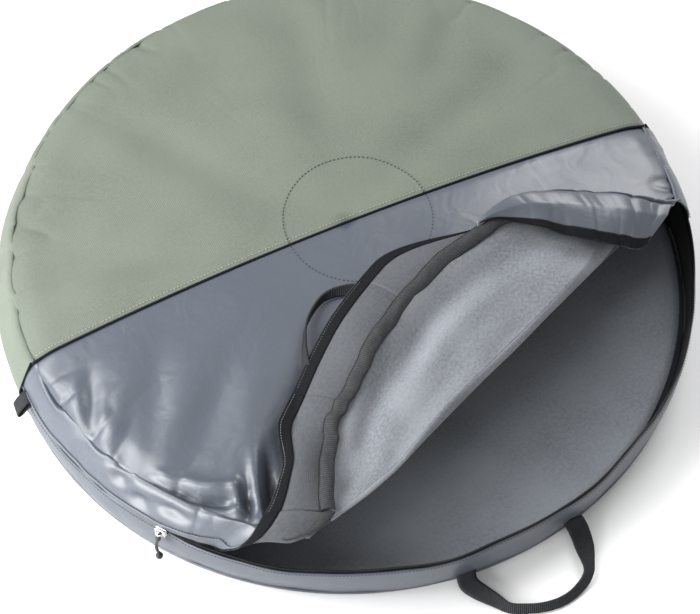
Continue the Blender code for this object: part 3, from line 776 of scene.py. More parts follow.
def binding_place(degrees, share):
    out, along = seam_point(degrees)
    turn = np.radians(degrees)
    arch = parabola(share)
    pleat = 0.0035 * ripple(82, degrees / 1.7, 4) * bell(degrees + 31, 6)
    side = 0.017 * share - 0.003 + 0.0018 * ripple(81, degrees / 3.1) + pleat
    out, along = out + np.cos(turn) * side, along - np.sin(turn) * side
    bumps = 0.0042 * arch ** 0.6 + 0.0016 * hills(83)(degrees / 1.9, share * 1.2) * arch
    return to_world(out, along, flap_top(out, along) + 0.0008 + bumps + np.abs(pleat) * 0.8)


binding = cloth("flap_seam_binding", np.linspace(-48.9, 24.0, 260), np.linspace(0, 1, 11),
                binding_place, BINDING, grosgrain)
print("binding points:", len(binding.data.vertices))

# %% [markdown]
# The side wall that is sewn to the part of the lid that stays down has two stretches. Near the
# flap the left one leaves its closed place and swings out to meet the brim, as the open zip lets
# it. The cloth stops short of the zip where the zip is open, and shows the black tape there.

# %% Upper side wall on the left and the right

LEFT_END = FLAP_TURN - FLAP_HALF
RIGHT_START = FLAP_TURN + FLAP_HALF
# Hollows in the left wall: angle round the flap, height, half width, half height and depth
WALL_HOLLOWS = ((-84.0, 0.088, 2.6, 0.009, 0.008), (-77.5, 0.097, 3.4, 0.007, 0.007),
                (-88.0, 0.1, 1.8, 0.008, 0.006), (-97.0, 0.092, 1.6, 0.012, 0.004))
END_SEAM = [float(c) for c in seam_point(np.array(-FLAP_HALF))]
# Where the turned-back wall starts: angle round the flap, then how far out, along and high
LEFT_START = ((-84, 0.0406, -0.3859, 0.1165), (-78, 0.0807, -0.3795, 0.1165),
              (-68, 0.1453, -0.3597, 0.1165), (-64, 0.1705, -0.35, 0.116),
              (-61, 0.184, -0.3515, 0.1145), (-58, 0.201, -0.3465, 0.1135),
              (-55, 0.215, -0.338, 0.117), (-52, 0.2225, -0.323, 0.122),
              (-50.5, 0.224, -0.309, 0.126),
              (-49, *END_SEAM, float(flap_top(*END_SEAM)) - 0.0012))


def turned_back(turn, run):
    """The turned-back wall from its seam (0) to the zip edge (1)"""
    points = np.array(between(eased_point(turn, LEFT_START, 1.0), left_edge(turn), run))
    points[2] += 0.007 * parabola(run)
    return points


def opened(degrees):
    """0 where the zip is closed, 1 where it is open"""
    return smooth(SLIDER_TURN - 1, SLIDER_TURN + 5, degrees)


def swung_out(turn, share, tape):
    """The same wall where it is turned back: zip tape, or cloth that starts under the lid"""
    if not tape:
        hidden_root = ring(0.386, np.radians(np.minimum(turn, -54.5)), 0.1135)
        run = 0.95 * np.clip((share - 0.08) / 0.92, 0, 1)
        return between(hidden_root, turned_back(turn, run), np.clip(share / 0.08, 0, 1))
    run = 0.74 + 0.28 * share
    spot = turned_back(turn, run)
    face = np.cross(turned_back(turn + 0.2, run) - spot, turned_back(turn, run + 0.01) - spot, axis=0)
    return spot + 0.002 * face / np.maximum(np.linalg.norm(face, axis=0), 1e-9)


def upper_wall(seed, tape=False):
    """Wall from the lid's rim (0) to the zip (1), swung out where it meets the brim"""

    def place(degrees, share):
        angle = np.radians(degrees)
        low = ZIP_HEIGHT + (0.0004 if tape else 0.0016 + 0.006 * opened(degrees))
        high = ZIP_HEIGHT + 0.012 if tape else RIM_EDGE
        height = high + (low - high) * share
        away = RIM_EDGE - height
        bulge = 0.0045 * half_sine(away / (RIM_EDGE - ZIP_HEIGHT))
        radius = wall_radius(height) + bulge + gathers(seed, angle * RIM, away, 0.026, 0.018, 0.0036)
        radius += swells(seed + 4, angle * RIM, height, 0.05, 0.0022)
        if tape:
            radius -= 0.0012
        else:
            radius -= pinch(away, 0.0045, 0.003)
            height -= pinch(away, seam_gap(degrees), 0.0022)
        turn = degrees - FLAP_TURN
        for middle, level, wide, tall, depth in WALL_HOLLOWS:
            radius -= depth * bell(turn - middle, wide) * bell(height - level, tall)
        swing = smooth(-76, -64, turn) * np.where(degrees < -60, 1.0, 0.0)
        return between(ring(radius, angle, height), to_world(*swung_out(turn, share, tape)), swing)

    return place


left_turns = spaced((-179.8, 0.35), (-142, 0.35), (-128, 0.16), (LEFT_END + 0.4, 0))
right_turns = np.linspace(RIGHT_START, -0.2, 60)
wall_shares = spaced((0, 0.02), (0.12, 0.045), (0.3, 0.07), (1, 0))
left_place, right_place = upper_wall(91), upper_wall(95)
left_tape_place, right_tape_place = upper_wall(91, tape=True), upper_wall(95, tape=True)
# The left wall's lining is the darker copy of the lining: painted shade
left_wall = cloth("upper_wall_left", left_turns, wall_shares, left_place, CLOTH, slate_tarpaulin,
                  wall_lining_painted_shade)
right_wall = cloth("upper_wall_right", right_turns, wall_shares, right_place, CLOTH,
                   slate_tarpaulin, black_lining)


def end_binding_place(degrees, share):
    """The binding goes on beyond the fold, and narrows to nothing on the turned-back wall"""
    start = eased_point(degrees, LEFT_START, 0.8)
    away = [a - b for a, b in zip(start, left_edge(degrees))]
    size = np.sqrt(sum(part ** 2 for part in away))
    width = -0.003 + 0.017 * share * smooth(-57, -49, degrees)
    out, along = [a + part / size * width for a, part in zip(start[:2], away[:2])]
    bumps = 0.0008 * hills(84)(degrees / 1.3, share * 1.2)
    return to_world(out, along, start[2] + 0.0012 + 0.003 * parabola(share) + bumps)


end_binding = cloth("wall_seam_binding", np.linspace(-57, -48.7, 60), np.linspace(0, 1, 9),
                    end_binding_place, BINDING, grosgrain)
tape_shares = np.linspace(0, 1, 5)
left_tape, right_tape = [
    cloth("upper_zip_tape_" + side, turns, tape_shares, place, 0.0008, zip_tape)
    for side, turns, place in (("left", left_turns, left_tape_place),
                               ("right", right_turns, right_tape_place))]
print("upper wall faces:", len(left_wall.data.polygons) + len(right_wall.data.polygons))

# %% Lower side wall in front, with its zip tape


def slack(degrees):
    """How far the edge of the lower wall hangs outwards beside the open zip"""
    return 0.003 * opened(degrees) * ripple(101, degrees / 9) + 0.0045 * smooth(-34, -16, degrees)


def lower_wall(degrees, share):
    angle = np.radians(degrees)
    high = ZIP_HEIGHT - 0.0016 - 0.0055 * opened(degrees)
    height = high + (WALL_FOOT - high) * share
    radius = wall_radius(height) + 0.003 * half_sine(share) + slack(degrees) * (1 - share)
    radius += gathers(102, angle * RIM, height - WALL_FOOT, 0.03, 0.014, 0.0022)
    return ring(radius + swells(103, angle * RIM, height, 0.07, 0.0014), angle, height)


def lower_tape(degrees, share):
    height = ZIP_HEIGHT - 0.0004 - 0.011 * share
    return ring(wall_radius(height) + slack(degrees) - 0.0014, np.radians(degrees), height)


front_turns = np.linspace(-179.8, -0.2, 400)
front_wall = cloth("lower_wall_front", front_turns, np.linspace(0, 1, 17), lower_wall, CLOTH,
                   slate_tarpaulin, black_lining)
front_tape = cloth("lower_zip_tape", front_turns, np.linspace(0, 1, 5), lower_tape, 0.0009,
                   zip_tape)
print("front wall faces:", len(front_wall.data.polygons))

# %% [markdown]
# Inside lies a thin foam pad under a hard-wearing cloth, darkened as painted shade, with a round patch
# where the hub's axle would press. The pad is slightly uneven. Another patch is sewn under each half
# of the lid.

# %% Base, floor and hub patches


def floor_place(angle, radius, lift=0.0):
    x, y, _ = ring(radius, angle, 0)
    return x, y, (0.0086 + lift + swells(111, x, y, 0.09, 0.0014)
                  + 0.003 * smooth(0.36, 0.39, radius))


def under_lid(side):
    def place(angle, radius):
        x = HUB_SHIFT + radius * np.cos(angle)
        y = side * (np.abs(radius * np.sin(angle)) + 0.004)
        return x, y, lid_height(x, y) - 0.0062

    return place


full_turn = np.linspace(0, 2 * math.pi, 181)
# The floor's darker cloth is painted shade
floor = cloth("floor_pad_cloth", full_turn, np.linspace(0, 0.3905, 36), floor_place, 0.004,
              floor_cloth_painted_shade, disc=True)
base = cloth("base_cloth", full_turn, np.linspace(0, 0.3965, 12),
             lambda angle, radius: ring(radius, angle, 0.0002), 0.0024, slate_tarpaulin,
             flip=False, disc=True)
patch_rows = np.linspace(0, HUB_PATCH, 9)
floor_patch, rear_patch, front_patch = [
    cloth("hub_patch_" + name, turns, patch_rows, place, 0.0012, webbing, flip=flip, disc=True)
    for name, turns, place, flip in (
        ("floor", full_turn, lambda angle, radius: floor_place(angle, radius, 0.0014), True),
        ("rear", half_turn[::6], under_lid(1), False),
        ("front", half_turn[::6], under_lid(-1), True))]
print("floor at the middle:", round(floor_place(0.0, np.array(0.0))[2] * 1000, 2), "mm")

# %% [markdown]
# Pipings, cords and straps follow a line. A piping could be a curve object with a bevel. Here a
# ring of points is carried along the line without turning about it, so that its UV map is in
# metres from the start, and the ribs and braids on it stay even.

# %% Tubes and straps along a line


def item_from(work, name, finish):
    """An object from a finished bmesh"""
    mesh = bpy.data.meshes.new(name)
    work.to_mesh(mesh)
    work.free()
    mesh.materials.append(finish)
    return add_item(name, mesh)


# How wide each side of a tube is on the UV map, so that its ribs stay even
SIDE_WIDTH = 0.0012


def tube(name, points, radius, finish, sides=8, cyclic=False):
    """A round tube with one radius, or one for each point"""
    points = [Vector(p) for p in points]
    count = len(points)
    sizes = np.broadcast_to(radius, count)
    turns = [2 * math.pi * k / sides for k in range(sides)]
    work = bmesh.new()
    layer = work.loops.layers.uv.new("cloth")
    rings = []
    side = None
    for i, point in enumerate(points):
        ahead = points[(i + 1) % count] if cyclic or i < count - 1 else point
        behind = points[i - 1] if cyclic or i else point
        way = (ahead - behind).normalized()
        if side is None:
            side = way.orthogonal().normalized()
        side = (side - way * side.dot(way)).normalized()
        up = way.cross(side)
        rings.append([work.verts.new(point + (side * math.cos(t) + up * math.sin(t))
                                     * float(sizes[i])) for t in turns])
    length = 0
    for i in range(count if cyclic else count - 1):
        j = (i + 1) % count
        step = (points[j] - points[i]).length
        for k in range(sides):
            m = (k + 1) % sides
            face = work.faces.new((rings[i][k], rings[i][m], rings[j][m], rings[j][k]))
            for loop, (a, b) in zip(face.loops, ((k, 0), (k + 1, 0), (k + 1, 1), (k, 1))):
                loop[layer].uv = (a * SIDE_WIDTH, length + b * step)
            face.smooth = True
        length += step
    if not cyclic:
        work.faces.new(rings[0][::-1])
        work.faces.new(rings[-1])
    return item_from(work, name, finish)


def curve_through(stops, count):
    """Even points on a smooth line through the stops"""
    stops = np.array(stops, float)
    full = np.vstack((2 * stops[0] - stops[1], stops, 2 * stops[-1] - stops[-2]))
    line = []
    for a, b, c, d in zip(full, full[1:], full[2:], full[3:]):
        for t in np.arange(12) / 12:
            line.append(0.5 * (2 * b + (c - a) * t + (2 * a - 5 * b + 4 * c - d) * t ** 2
                               + (3 * b - a - 3 * c + d) * t ** 3))
    line = np.array(line + [stops[-1]])
    run = run_lengths(line)
    even = np.linspace(0, run[-1], count)
    return np.stack([np.interp(even, run, line[:, k]) for k in range(3)], -1)


def strap(name, line, sides, widths, thickness):
    """A flat band of webbing along a line: side vectors give the way its width lies"""
    sides = np.array(sides, float)
    sides /= np.linalg.norm(sides, axis=1)[:, None]
    half_widths = np.array(widths, float)[:, None] / 2

    def place(across, index):
        index = index.astype(int)
        return np.moveaxis(line[index] + sides[index] * half_widths[index] * across[..., None], -1, 0)

    return cloth(name, np.linspace(-1, 1, 7), np.arange(len(line)), place, thickness, webbing)


print("points on a bent line:", len(curve_through([(0, 0, 0), (1, 0, 0), (1, 1, 0)], 20)))

# %% Pipings on the middle seam and the base

BASE_PIPING = 0.3982
dome_run = [(x, 0, float(lid_height(x, 0.0)) + 0.0004) for x in np.linspace(-0.3872, 0.3872, 160)]
piping_middle = tube("middle_piping", dome_run, 0.0015, zip_tape)
heights = np.linspace(RIM_EDGE, 0.004, 30)
wall_run = wall_radius(heights) + 0.0036 * half_sine((RIM_EDGE - heights) / RIM_EDGE) ** 0.8
end_pipings = [tube("end_piping_%d" % (side > 0), zip(side * wall_run, 0 * heights, heights), 0.0014,
                    zip_tape) for side in (-1, 1)]
piping_base = tube("base_piping", zip(*ring(BASE_PIPING, full_turn[:-1], 0.0036 + 0 * full_turn[:-1])),
                   0.0018, slate_tarpaulin, cyclic=True)
print("piping length:", round(BASE_PIPING * 2 * math.pi, 3), "m")

# %% [markdown]
# The two handles are loops of webbing. The ends lie flat where they are sewn, and the grip is
# folded in half and stitched, so it is narrow and thick. The lower one lies out on the floor. The
# upper one lies on the lid, with its ends under the brim.

# %% Handles


def spread_out(rows, count):
    """Rows of numbers drawn out evenly to a count of rows"""
    marks = np.linspace(0, 1, len(rows))
    return np.stack([np.interp(np.linspace(0, 1, count), marks, column) for column in zip(*rows)], -1)


def handle(name, stops, sides, widths):
    size = spread_out([(width,) for width in widths], 70)[:, 0]
    return strap(name, curve_through(stops, 70), spread_out(sides, 70), size, 0.0022)


lower_handle = handle(
    "lower_handle_webbing",
    [(-0.0385, -0.3965, 0.016), (-0.0415, -0.402, 0.01), (-0.0425, -0.4115, 0.008),
     (-0.0362, -0.4256, 0.009), (-0.0249, -0.4413, 0.007), (-0.0149, -0.4558, 0.006),
     (0.0014, -0.4647, 0.006), (0.0188, -0.471, 0.006), (0.0383, -0.4735, 0.006),
     (0.0572, -0.4705, 0.006), (0.0751, -0.4628, 0.008), (0.0852, -0.453, 0.009),
     (0.09, -0.44, 0.008), (0.095, -0.423, 0.007), (0.098, -0.4063, 0.008),
     (0.0975, -0.3975, 0.012), (0.095, -0.3915, 0.018)],
    [(0.97, -0.1, 0.2), (0.85, 0.35, 0.3), (0.4, 0.7, 0.5), (0.25, 0.75, 0.6),
     (0.0, 0.78, 0.6), (-0.6, 0.55, 0.55), (-0.97, 0.2, 0.1), (-1.0, 0.05, 0.0)],
    [0.025, 0.02, 0.012, 0.011, 0.011, 0.012, 0.022, 0.025])
upper_handle = handle(
    "upper_handle_webbing",
    [(-0.01, -0.112, 0.1475), (-0.02, -0.098, 0.1495), (-0.042, -0.086, 0.153),
     (-0.07, -0.086, 0.154), (-0.098, -0.106, 0.153), (-0.114, -0.134, 0.152),
     (-0.123, -0.162, 0.15), (-0.129, -0.186, 0.146), (-0.128, -0.206, 0.1435)],
    [(0.6, 0.75, 0.1), (0.3, 0.6, 0.7), (0.2, 0.4, 0.9), (0.5, 0.3, 0.8), (0.75, 0.1, 0.6),
     (0.9, 0.1, 0.3)],
    [0.024, 0.013, 0.009, 0.01, 0.011, 0.018])
print("handle faces:", len(lower_handle.data.polygons) + len(upper_handle.data.polygons))

# %% Webbing tabs over the ends of the zip


def tab(name, stops, side):
    """A short loop of webbing, sewn flat over the zip's end"""
    return strap(name, curve_through(stops, 24), [side] * 24, [0.017] * 24, 0.0015)


# The left one sticks out and down, the right one lies flat
tabs = [tab("zip_end_tab_left",
            [(-0.403, -0.015, 0.0745), (-0.4075, -0.0155, 0.0728), (-0.4125, -0.016, 0.0682),
             (-0.4172, -0.0165, 0.0632), (-0.4196, -0.017, 0.0594), (-0.418, -0.017, 0.0572),
             (-0.4138, -0.0165, 0.0598), (-0.4085, -0.016, 0.0642), (-0.4035, -0.0155, 0.068)],
            (0.1, 1, 0.1)),
        tab("zip_end_tab_right",
            [(0.4045, -0.006, 0.074), (0.408, -0.007, 0.073), (0.4096, -0.008, 0.062),
             (0.4096, -0.009, 0.048), (0.408, -0.009, 0.044), (0.4062, -0.008, 0.05),
             (0.405, -0.007, 0.058)], (0, 1, 0))]
print("tabs:", [piece.name for piece in tabs])

# %% [markdown]
# The slider is die-cast zinc with plating: a low wedge-shaped body round the two rows of teeth, and
# a bail that holds the cord. Two plates with rounded edges make the body, and the bail is a bent
# wire. The doubled cord could be two strands, but at this size one thicker tube looks the same.

# %% Slider and cord pull


def near_slider(radius, shift, height):
    """A point by its distance from the axis, its shift round the wall and its height"""
    turn = math.radians(SLIDER_TURN)
    return (radius * math.cos(turn) - shift * math.sin(turn),
            radius * math.sin(turn) + shift * math.cos(turn), height)


def slider_line(stops, count):
    return curve_through([near_slider(*stop) for stop in stops], count)


def wedge(name, inner, outer, half_height, bevel):
    """A plate of the slider, 13.6 mm long and lower at its right end"""
    corners = [(0.0068, -half_height), (-0.0068, -half_height * 0.75),
               (-0.0068, half_height * 0.75), (0.0068, half_height)]
    work = bmesh.new()
    bottom, top = [[work.verts.new(near_slider(radius, shift, ZIP_HEIGHT + rise))
                    for shift, rise in corners] for radius in (inner, outer)]
    work.faces.new(bottom)
    work.faces.new(top[::-1])
    for i in range(4):
        j = (i + 1) % 4
        work.faces.new((bottom[j], bottom[i], top[i], top[j]))
    bmesh.ops.recalc_face_normals(work, faces=work.faces)
    item = item_from(work, name, plated_steel)
    rounded = item.modifiers.new("rounded", "BEVEL")
    rounded.width = bevel
    rounded.segments = 3
    item.data.shade_smooth()
    return item


slider_body = wedge("slider_body", 0.4055, 0.4078, 0.0062, 0.0009)
slider_top = wedge("slider_top", 0.4086, 0.4104, 0.0058, 0.0008)
BAIL_STOPS = [(radius, shift, ZIP_HEIGHT) for radius, shift in (
    (0.4098, 0.0052), (0.4128, 0.003), (0.4138, 0.0), (0.4128, -0.003), (0.4098, -0.0052))]
bail = tube("slider_bail", slider_line(BAIL_STOPS, 16), 0.0009, plated_steel)
PULL_STOPS = [(0.4123, 0.0006, 0.0645), (0.4142, 0.0002, 0.058), (0.4158, -0.0012, 0.05),
              (0.4166, -0.0022, 0.042), (0.4172, -0.0008, 0.035), (0.4173, 0.001, 0.03)]
pull_line = slider_line(PULL_STOPS, 30)
# The doubled cord is knotted just under the slider, and thicker there
knot = 0.0013 * np.exp(-((np.linspace(0, 1, len(pull_line)) - 0.2) / 0.09) ** 4)
pull_cord = tube("pull_cord_loop", pull_line, 0.0018 + knot, cord_sheath)
END_STOPS = [(0.4173, 0.001, 0.0305), (0.4174, 0.0013, 0.026), (0.4174, 0.0014, 0.0215)]
END_SIZES = [0.002, 0.0026, 0.0032, 0.0036, 0.0039, 0.0041, 0.0042, 0.0042, 0.004, 0.0036,
             0.0028, 0.0012]
pull_end = tube("pull_moulded_end", slider_line(END_STOPS, 12), END_SIZES, moulded_end, sides=14)
print("pull length:", round(run_lengths(pull_line)[-1] * 1000, 1), "mm")

# %% [markdown]
# Stitches and the teeth of the zip repeat hundreds of times along a line, so Geometry Nodes lay
# them out. The tree turns a line into points at an even spacing, sets a small rounded piece on each
# one along the line, tilts them a little with a fixed seed, and makes the result real geometry.
# The piece is a ball with few faces, stretched to a stitch or to one turn of the coil.

# %% A tree that sets pieces along a line

row_tree = bpy.data.node_groups.new("row along a line", "GeometryNodeTree")
for label, kind, value in (("Lines", "Geometry", None), ("Spacing", "Float", 0.004),
                           ("Length", "Float", 0.003), ("Thickness", "Float", 0.0008),
                           ("Tilt", "Float", 0.1), ("Seed", "Int", 5), ("Finish", "Material", None)):
    socket = row_tree.interface.new_socket(label, in_out="INPUT", socket_type="NodeSocket" + kind)
    if value is not None:
        socket.default_value = value
row_tree.interface.new_socket("Pieces", in_out="OUTPUT", socket_type="NodeSocketGeometry")
add = node_adder(row_tree, "")
given = add("NodeGroupInput", {})
curves = add("GeometryNodeMeshToCurve", {0: given["Lines"]})[0]
dots = add("GeometryNodeCurveToPoints", {"Curve": curves, "Length": given["Spacing"]}, mode="LENGTH")
ball = add("GeometryNodeMeshUVSphere", {"Segments": 6, "Rings": 4, "Radius": 0.5})[0]
size = add("ShaderNodeCombineXYZ", {"X": given["Length"], "Y": given["Thickness"],
                                    "Z": given["Thickness"]})[0]
shaped = add("GeometryNodeTransform", {"Geometry": ball, "Scale": size})[0]
aligned = add("FunctionNodeAlignRotationToVector", {"Vector": dots["Tangent"]}, axis="X")[0]
least = add("ShaderNodeMath", {0: given["Tilt"], 1: -1.0}, operation="MULTIPLY")[0]
low_tilt, high_tilt = [add("ShaderNodeCombineXYZ", dict.fromkeys(range(3), limit))[0]
                       for limit in (least, given["Tilt"])]
tilt = add("FunctionNodeRandomValue", {0: low_tilt, 1: high_tilt, "Seed": given["Seed"]},
           data_type="FLOAT_VECTOR")[0]
turned = add("FunctionNodeRotateRotation", {0: aligned, 1: tilt}, rotation_space="LOCAL")[0]
placed = add("GeometryNodeInstanceOnPoints", {"Points": dots[0], "Instance": shaped,
                                              "Rotation": turned})[0]
real = add("GeometryNodeRealizeInstances", {0: placed})[0]
painted = add("GeometryNodeSetMaterial", {"Geometry": real, "Material": given["Finish"]})[0]
add("NodeGroupOutput", {0: painted})
print("nodes in the tree:", len(row_tree.nodes))

# %% Run the tree on a set of lines
rows = {}


def row(name, body, lines, finish, spacing, length, thickness, tilt=0.1):
    """Pieces along some lines, as one plain mesh that will ride on a body"""
    points, edges = [], []
    for stops in lines:
        first = len(points)
        points += [tuple(map(float, stop)) for stop in stops]
        edges += [(i, i + 1) for i in range(first, len(points) - 1)]
    mesh = bpy.data.meshes.new(name + "_lines")
    mesh.from_pydata(points, edges, [])
    item = add_item(name, mesh)
    nodes = item.modifiers.new("row", "NODES")
    nodes.node_group = row_tree
    values = {"Spacing": spacing, "Length": length, "Thickness": thickness, "Tilt": tilt,
              "Finish": finish}
    for entry in row_tree.interface.items_tree:
        if entry.name in values:
            nodes[entry.identifier] = values[entry.name]
    result = bpy.data.meshes.new_from_object(
        item.evaluated_get(bpy.context.evaluated_depsgraph_get()))
    item.modifiers.remove(nodes)
    item.data = result
    result.name = name
    rows[name] = (body, item)


def line_on(place, us, vs):
    """Points of a line drawn on a cloth's own formula"""
    us, vs = np.broadcast_arrays(np.array(us, float), np.array(vs, float))
    return np.stack(np.broadcast_arrays(*place(us, vs)), -1)


# Stitches lie this far above the cloth's own formula
LIFT = np.array((0, 0, 0.0006))
hub_angles = np.linspace(0.02, math.pi - 0.02, 90)
hub_x = HUB_SHIFT + HUB_PATCH * np.cos(hub_angles)
hub_y = HUB_PATCH * np.sin(hub_angles)
hub_turn, hub_radius = np.arctan2(hub_y, hub_x), np.hypot(hub_x, hub_y)
hub_share = hub_radius / fold_reach(-hub_turn)
seam_x = np.linspace(-0.384, 0.384, 300)
seam_z = green_lid(np.arctan2(0.0047, seam_x), np.hypot(seam_x, 0.0047))[2] + 0.0004
row("hub_stitches_green", "shell", [line_on(green_lid, hub_turn, hub_radius) + LIFT], black_thread,
    0.0048, 0.0032, 0.0011)
row("hub_stitches_grey", "lid", [line_on(grey_lid, -hub_turn[::-1], hub_share[::-1]) + LIFT],
    black_thread, 0.0048, 0.003, 0.0008)
row("middle_seam_stitches", "shell", [[(x, 0.0062, z) for x, z in zip(seam_x, seam_z)]],
    sage_thread, 0.0042, 0.0034, 0.0009)
print("stitched lines:", ", ".join(rows))

# %% Stitches, teeth of the zip, and a painted shadow line by the binding

# Spacing, length and thickness, and how far the pieces tilt
STITCH = (0.004, 0.0028, 0.0008)
FINE_STITCH = (0.0032, 0.0018, 0.0006)
EDGE_SHADOW_LINE = (0.003, 0.0024, 0.0014)
TEETH = (0.0019, 0.0015, 0.0022, 0.02)


def outward(degrees, rise=0.0):
    """The way out from the wall at each angle"""
    return np.stack(ring(1.0, np.radians(degrees), rise + 0 * degrees), -1)


sewn_turns = left_turns[left_turns < -121]
# Past the slider the folded edge runs down towards the zip tape and ends on it
sewn_share = 0.18 * smooth(-133, -122, sewn_turns)
left_out = outward(sewn_turns, 0.3)
folded_edge = tube("wall_folded_edge", line_on(left_place, sewn_turns, 0.8 + sewn_share)
                   + left_out * 0.0002, 0.0013, slate_tarpaulin)
row("lower_zip_stitches", "shell", [line_on(lower_wall, front_turns, 0.035)
                                    + outward(front_turns) * 0.0009], black_thread, *STITCH)
row("lower_zip_teeth", "shell", [line_on(lower_tape, np.linspace(SLIDER_TURN + 3, -0.6, 400), 0.0)],
    nylon_coil, *TEETH)
row("upper_zip_stitches", "lid",
    [line_on(left_place, sewn_turns, 0.765 + sewn_share) + left_out * 0.0009,
     line_on(right_place, right_turns, 0.945) + outward(right_turns) * 0.0009],
    black_thread, *STITCH)
# Black dashes along the binding's left edge are painted shade: a dark line for the shadowed gap there
row("binding_edge_shadow_line", "flap", [line_on(binding_place, np.linspace(-48.5, 23.6, 240), 0.0)
                                      + LIFT], black_thread, *EDGE_SHADOW_LINE)
row("upper_zip_teeth", "lid",
    [line_on(left_tape_place, np.linspace(SLIDER_TURN + 3, LEFT_END, 90), 1.0),
     line_on(right_tape_place, right_turns, 1.0)], nylon_coil, *TEETH)
for number, start, end in RUNS:
    turns = np.linspace(start, end, 60)
    row("brim_zip_teeth_%d" % number, "run_%d" % number,
        [line_on(brim_place(0.0008), turns, TAPE_END)], nylon_coil, *TEETH)
    row("brim_zip_stitches_%d" % number, "run_%d" % number,
        [line_on(brim_place(0.0014), turns, 0.965)], pale_thread, *FINE_STITCH)
turns = np.linspace(12.0, 48.5, 120)
row("turned_in_zip_teeth", "run_4", [line_on(tuck_place(0.0008), turns, TAPE_END)], nylon_coil,
    *TEETH)
row("turned_in_zip_stitches", "run_4", [line_on(tuck_place(0.0014), turns[12:], 0.85)],
    black_thread, *FINE_STITCH)
print("faces in stitches and teeth:", sum(len(item.data.polygons) for _, item in rows.values()))

# %% [markdown]
# Each piece now rides on the body of the solid model that it dresses, and stands for its solids.
# This could be written beside each piece, but one table shows at a glance what moves with what.
# Cloth that crosses a moving seam lies across the two bodies, so its body is left open.

# %% Bodies, finish slots and the solids that each piece stands for

PIECES = [
    (lid_green, "shell", "sage_cloth", "lid_rear lid_rear_lining rear_rim_binding"),
    (wall_green, "shell", "sage_cloth", "rear_wall rear_wall_lining"),
    (front_wall, "shell", "slate_cloth", "front_wall front_wall_lining zip_coil_lower"),
    (front_tape, "shell", "zip_tape", "zip_tape_lower"),
    (floor, "shell", "foam", "floor_pad floor_lining floor_binding"),
    (base, "shell", "slate_cloth", "base_panel"),
    (floor_patch, "shell", "webbing", "hub_guard_floor"),
    (rear_patch, "shell", "webbing", "hub_guard_rear"),
    (piping_middle, "shell", "webbing", "centre_piping"),
    (piping_base, "shell", "webbing", "base_piping"),
    (end_pipings[0], "shell", "webbing", ""), (end_pipings[1], "shell", "webbing", ""),
    (tabs[0], "shell", "webbing", "tab_left"), (tabs[1], "shell", "webbing", "tab_right"),
    (lid_grey, "lid", "slate_cloth", "lid_front lid_front_lining"),
    (left_wall, "lid", "slate_cloth", "lid_wall_left"),
    (folded_edge, "lid", "slate_cloth", ""),
    (right_wall, "lid", "slate_cloth", "lid_wall_right"),
    (end_binding, "lid", "webbing", ""),
    (left_tape, "lid", "zip_tape", "lid_tape_left lid_coil_left"),
    (right_tape, "lid", "zip_tape", "lid_tape_right lid_coil_right"),
    (front_patch, "lid", "webbing", "hub_guard_front"),
    (fold_roll, "", "grey_lining", "lid_fold"),
    (lining_panel, "flap", "grey_lining", "flap_lining"),
    (outer_panel, "flap", "slate_cloth", "flap_panel"),
    (binding, "flap", "webbing", "flap_binding"),
    (tuck, "", "slate_cloth", "flap_wall_4"),
    (tuck_tape, "run_4", "zip_tape", "flap_tape_4 flap_coil_4"),
    (upper_handle, "upper_handle", "webbing", "handle_upper"),
    (lower_handle, "lower_handle", "webbing", "handle_lower"),
    (slider_body, "slider", "slider_steel", "slider"),
    (slider_top, "slider", "slider_steel", ""), (bail, "slider", "slider_steel", ""),
    (pull_cord, "pull", "", "pull_cord"), (pull_end, "pull", "", "pull_end"),
]
for number, _, _ in RUNS:
    PIECES.append((brims[number - 1], "", "grey_lining", "flap_wall_%d" % number))
    PIECES.append((brim_tapes[number - 1], "run_%d" % number, "zip_tape",
                   "flap_tape_%d flap_coil_%d" % (number, number)))
for name, (body, item) in rows.items():
    PIECES.append((item, body, "zip_coil" if "teeth" in name else "", ""))
for item, body, slot, solids in PIECES:
    if body:
        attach(item, body)
    if solids:
        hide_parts(*solids.split())
print("solids replaced:", sum(len(solids.split()) for _, _, _, solids in PIECES))

# %% Cloth between the flap and its runs, and the fold, baked where it lies


def bend(item, place, turn):
    """Cloth between the flap and a run, baked where it lies; two points near its seam are found but
    not used
    """
    near, far = [Vector(line_on(place, [turn], share)[0]) for share in (0.0, 0.3)]
    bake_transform(item)


for number, start, end in RUNS:
    bend(brims[number - 1], brim_place(), (start + end) / 2)
bend(tuck, tuck_place(), 30)
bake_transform(fold_roll)

# %% [markdown]
# The camera looks down at 56 degrees with a long lens, as the photograph does. Its place comes from
# matching the outline, the middle seam and the zip's ends, and it is turned by one degree.

# %% Camera

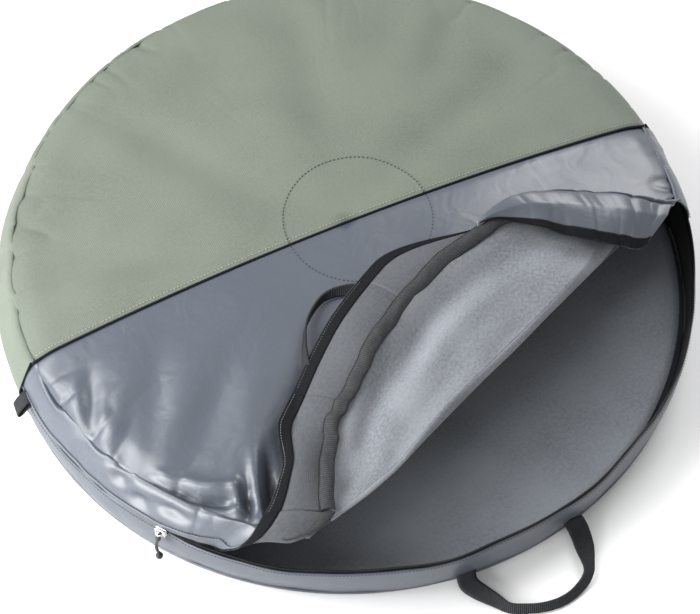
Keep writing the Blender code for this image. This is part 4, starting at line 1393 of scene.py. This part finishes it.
TARGET = Vector((-0.0232, -0.0589, 0.07))
VIEW_DISTANCE = 3.3401
azimuth, elevation, tilt = (math.radians(d) for d in (-24.05, 56.44, -1.13))
back = Vector((math.sin(azimuth) * math.cos(elevation), -math.cos(azimuth) * math.cos(elevation),
               math.sin(elevation)))
side = (-back).cross(Vector((0, 0, 1))).normalized()
upward = side.cross(-back)
right = side * math.cos(tilt) + upward * math.sin(tilt)
above = upward * math.cos(tilt) - side * math.sin(tilt)
lens = bpy.data.cameras.new("camera")
lens.sensor_width = 36
lens.lens = 149.28
lens.clip_end = 50
camera = add_item("camera", lens)
camera.matrix_world = (Matrix.Translation(TARGET + back * VIEW_DISTANCE)
                       @ Matrix((right, above, back)).transposed().to_4x4())
bpy.context.scene.camera = camera
print("camera at", [round(c, 3) for c in camera.matrix_world.translation])

# %% [markdown]
# The photograph is a studio shot on white. One large light overhead would show the cloth's colour
# but flatten its creases, so a broad soft light stands at the upper left and gives the coated cloth
# its highlights. A lower one at the side draws the creases, a weaker one behind on the right fills
# the shadows, and a pale surround does the rest.

# %% Light, surround and floor


def soft_light(name, place, aim, width, height, watts):
    light = bpy.data.lights.new(name, "AREA")
    light.shape = "RECTANGLE"
    light.size = width
    light.size_y = height
    light.energy = watts
    item = add_item(name, light)
    item.location = place
    item.rotation_euler = (Vector(aim) - Vector(place)).to_track_quat("-Z", "Y").to_euler()
    return item


lights = [soft_light("broad light", (-1.9, 0.8, 1.8), (0, -0.05, 0.1), 1.6, 1.6, 78),
          soft_light("side light", (-2.0, -0.6, 0.65), (-0.1, -0.1, 0.05), 1.1, 0.9, 46),
          soft_light("fill light", (1.7, 0.9, 1.7), (0, 0, 0.1), 1.2, 1.2, 35)]
bpy.context.scene.view_settings.view_transform = "Standard"
world = bpy.data.worlds.new("pale surround")
bpy.context.scene.world = world
world.use_nodes = True
world.node_tree.nodes["Background"].inputs["Color"].default_value = (1, 1, 1, 1)
world.node_tree.nodes["Background"].inputs["Strength"].default_value = 0.5
ground_mesh = bpy.data.meshes.new("studio floor")
ground_mesh.from_pydata([(-6, -6, 0), (6, -6, 0), (6, 6, 0), (-6, 6, 0)], [], [(0, 1, 2, 3)])
ground = add_item("studio floor", ground_mesh)
ground_mesh.materials.append(plain("white paper", "#f7f7f7", 0.9))
print("lights:", len(lights))
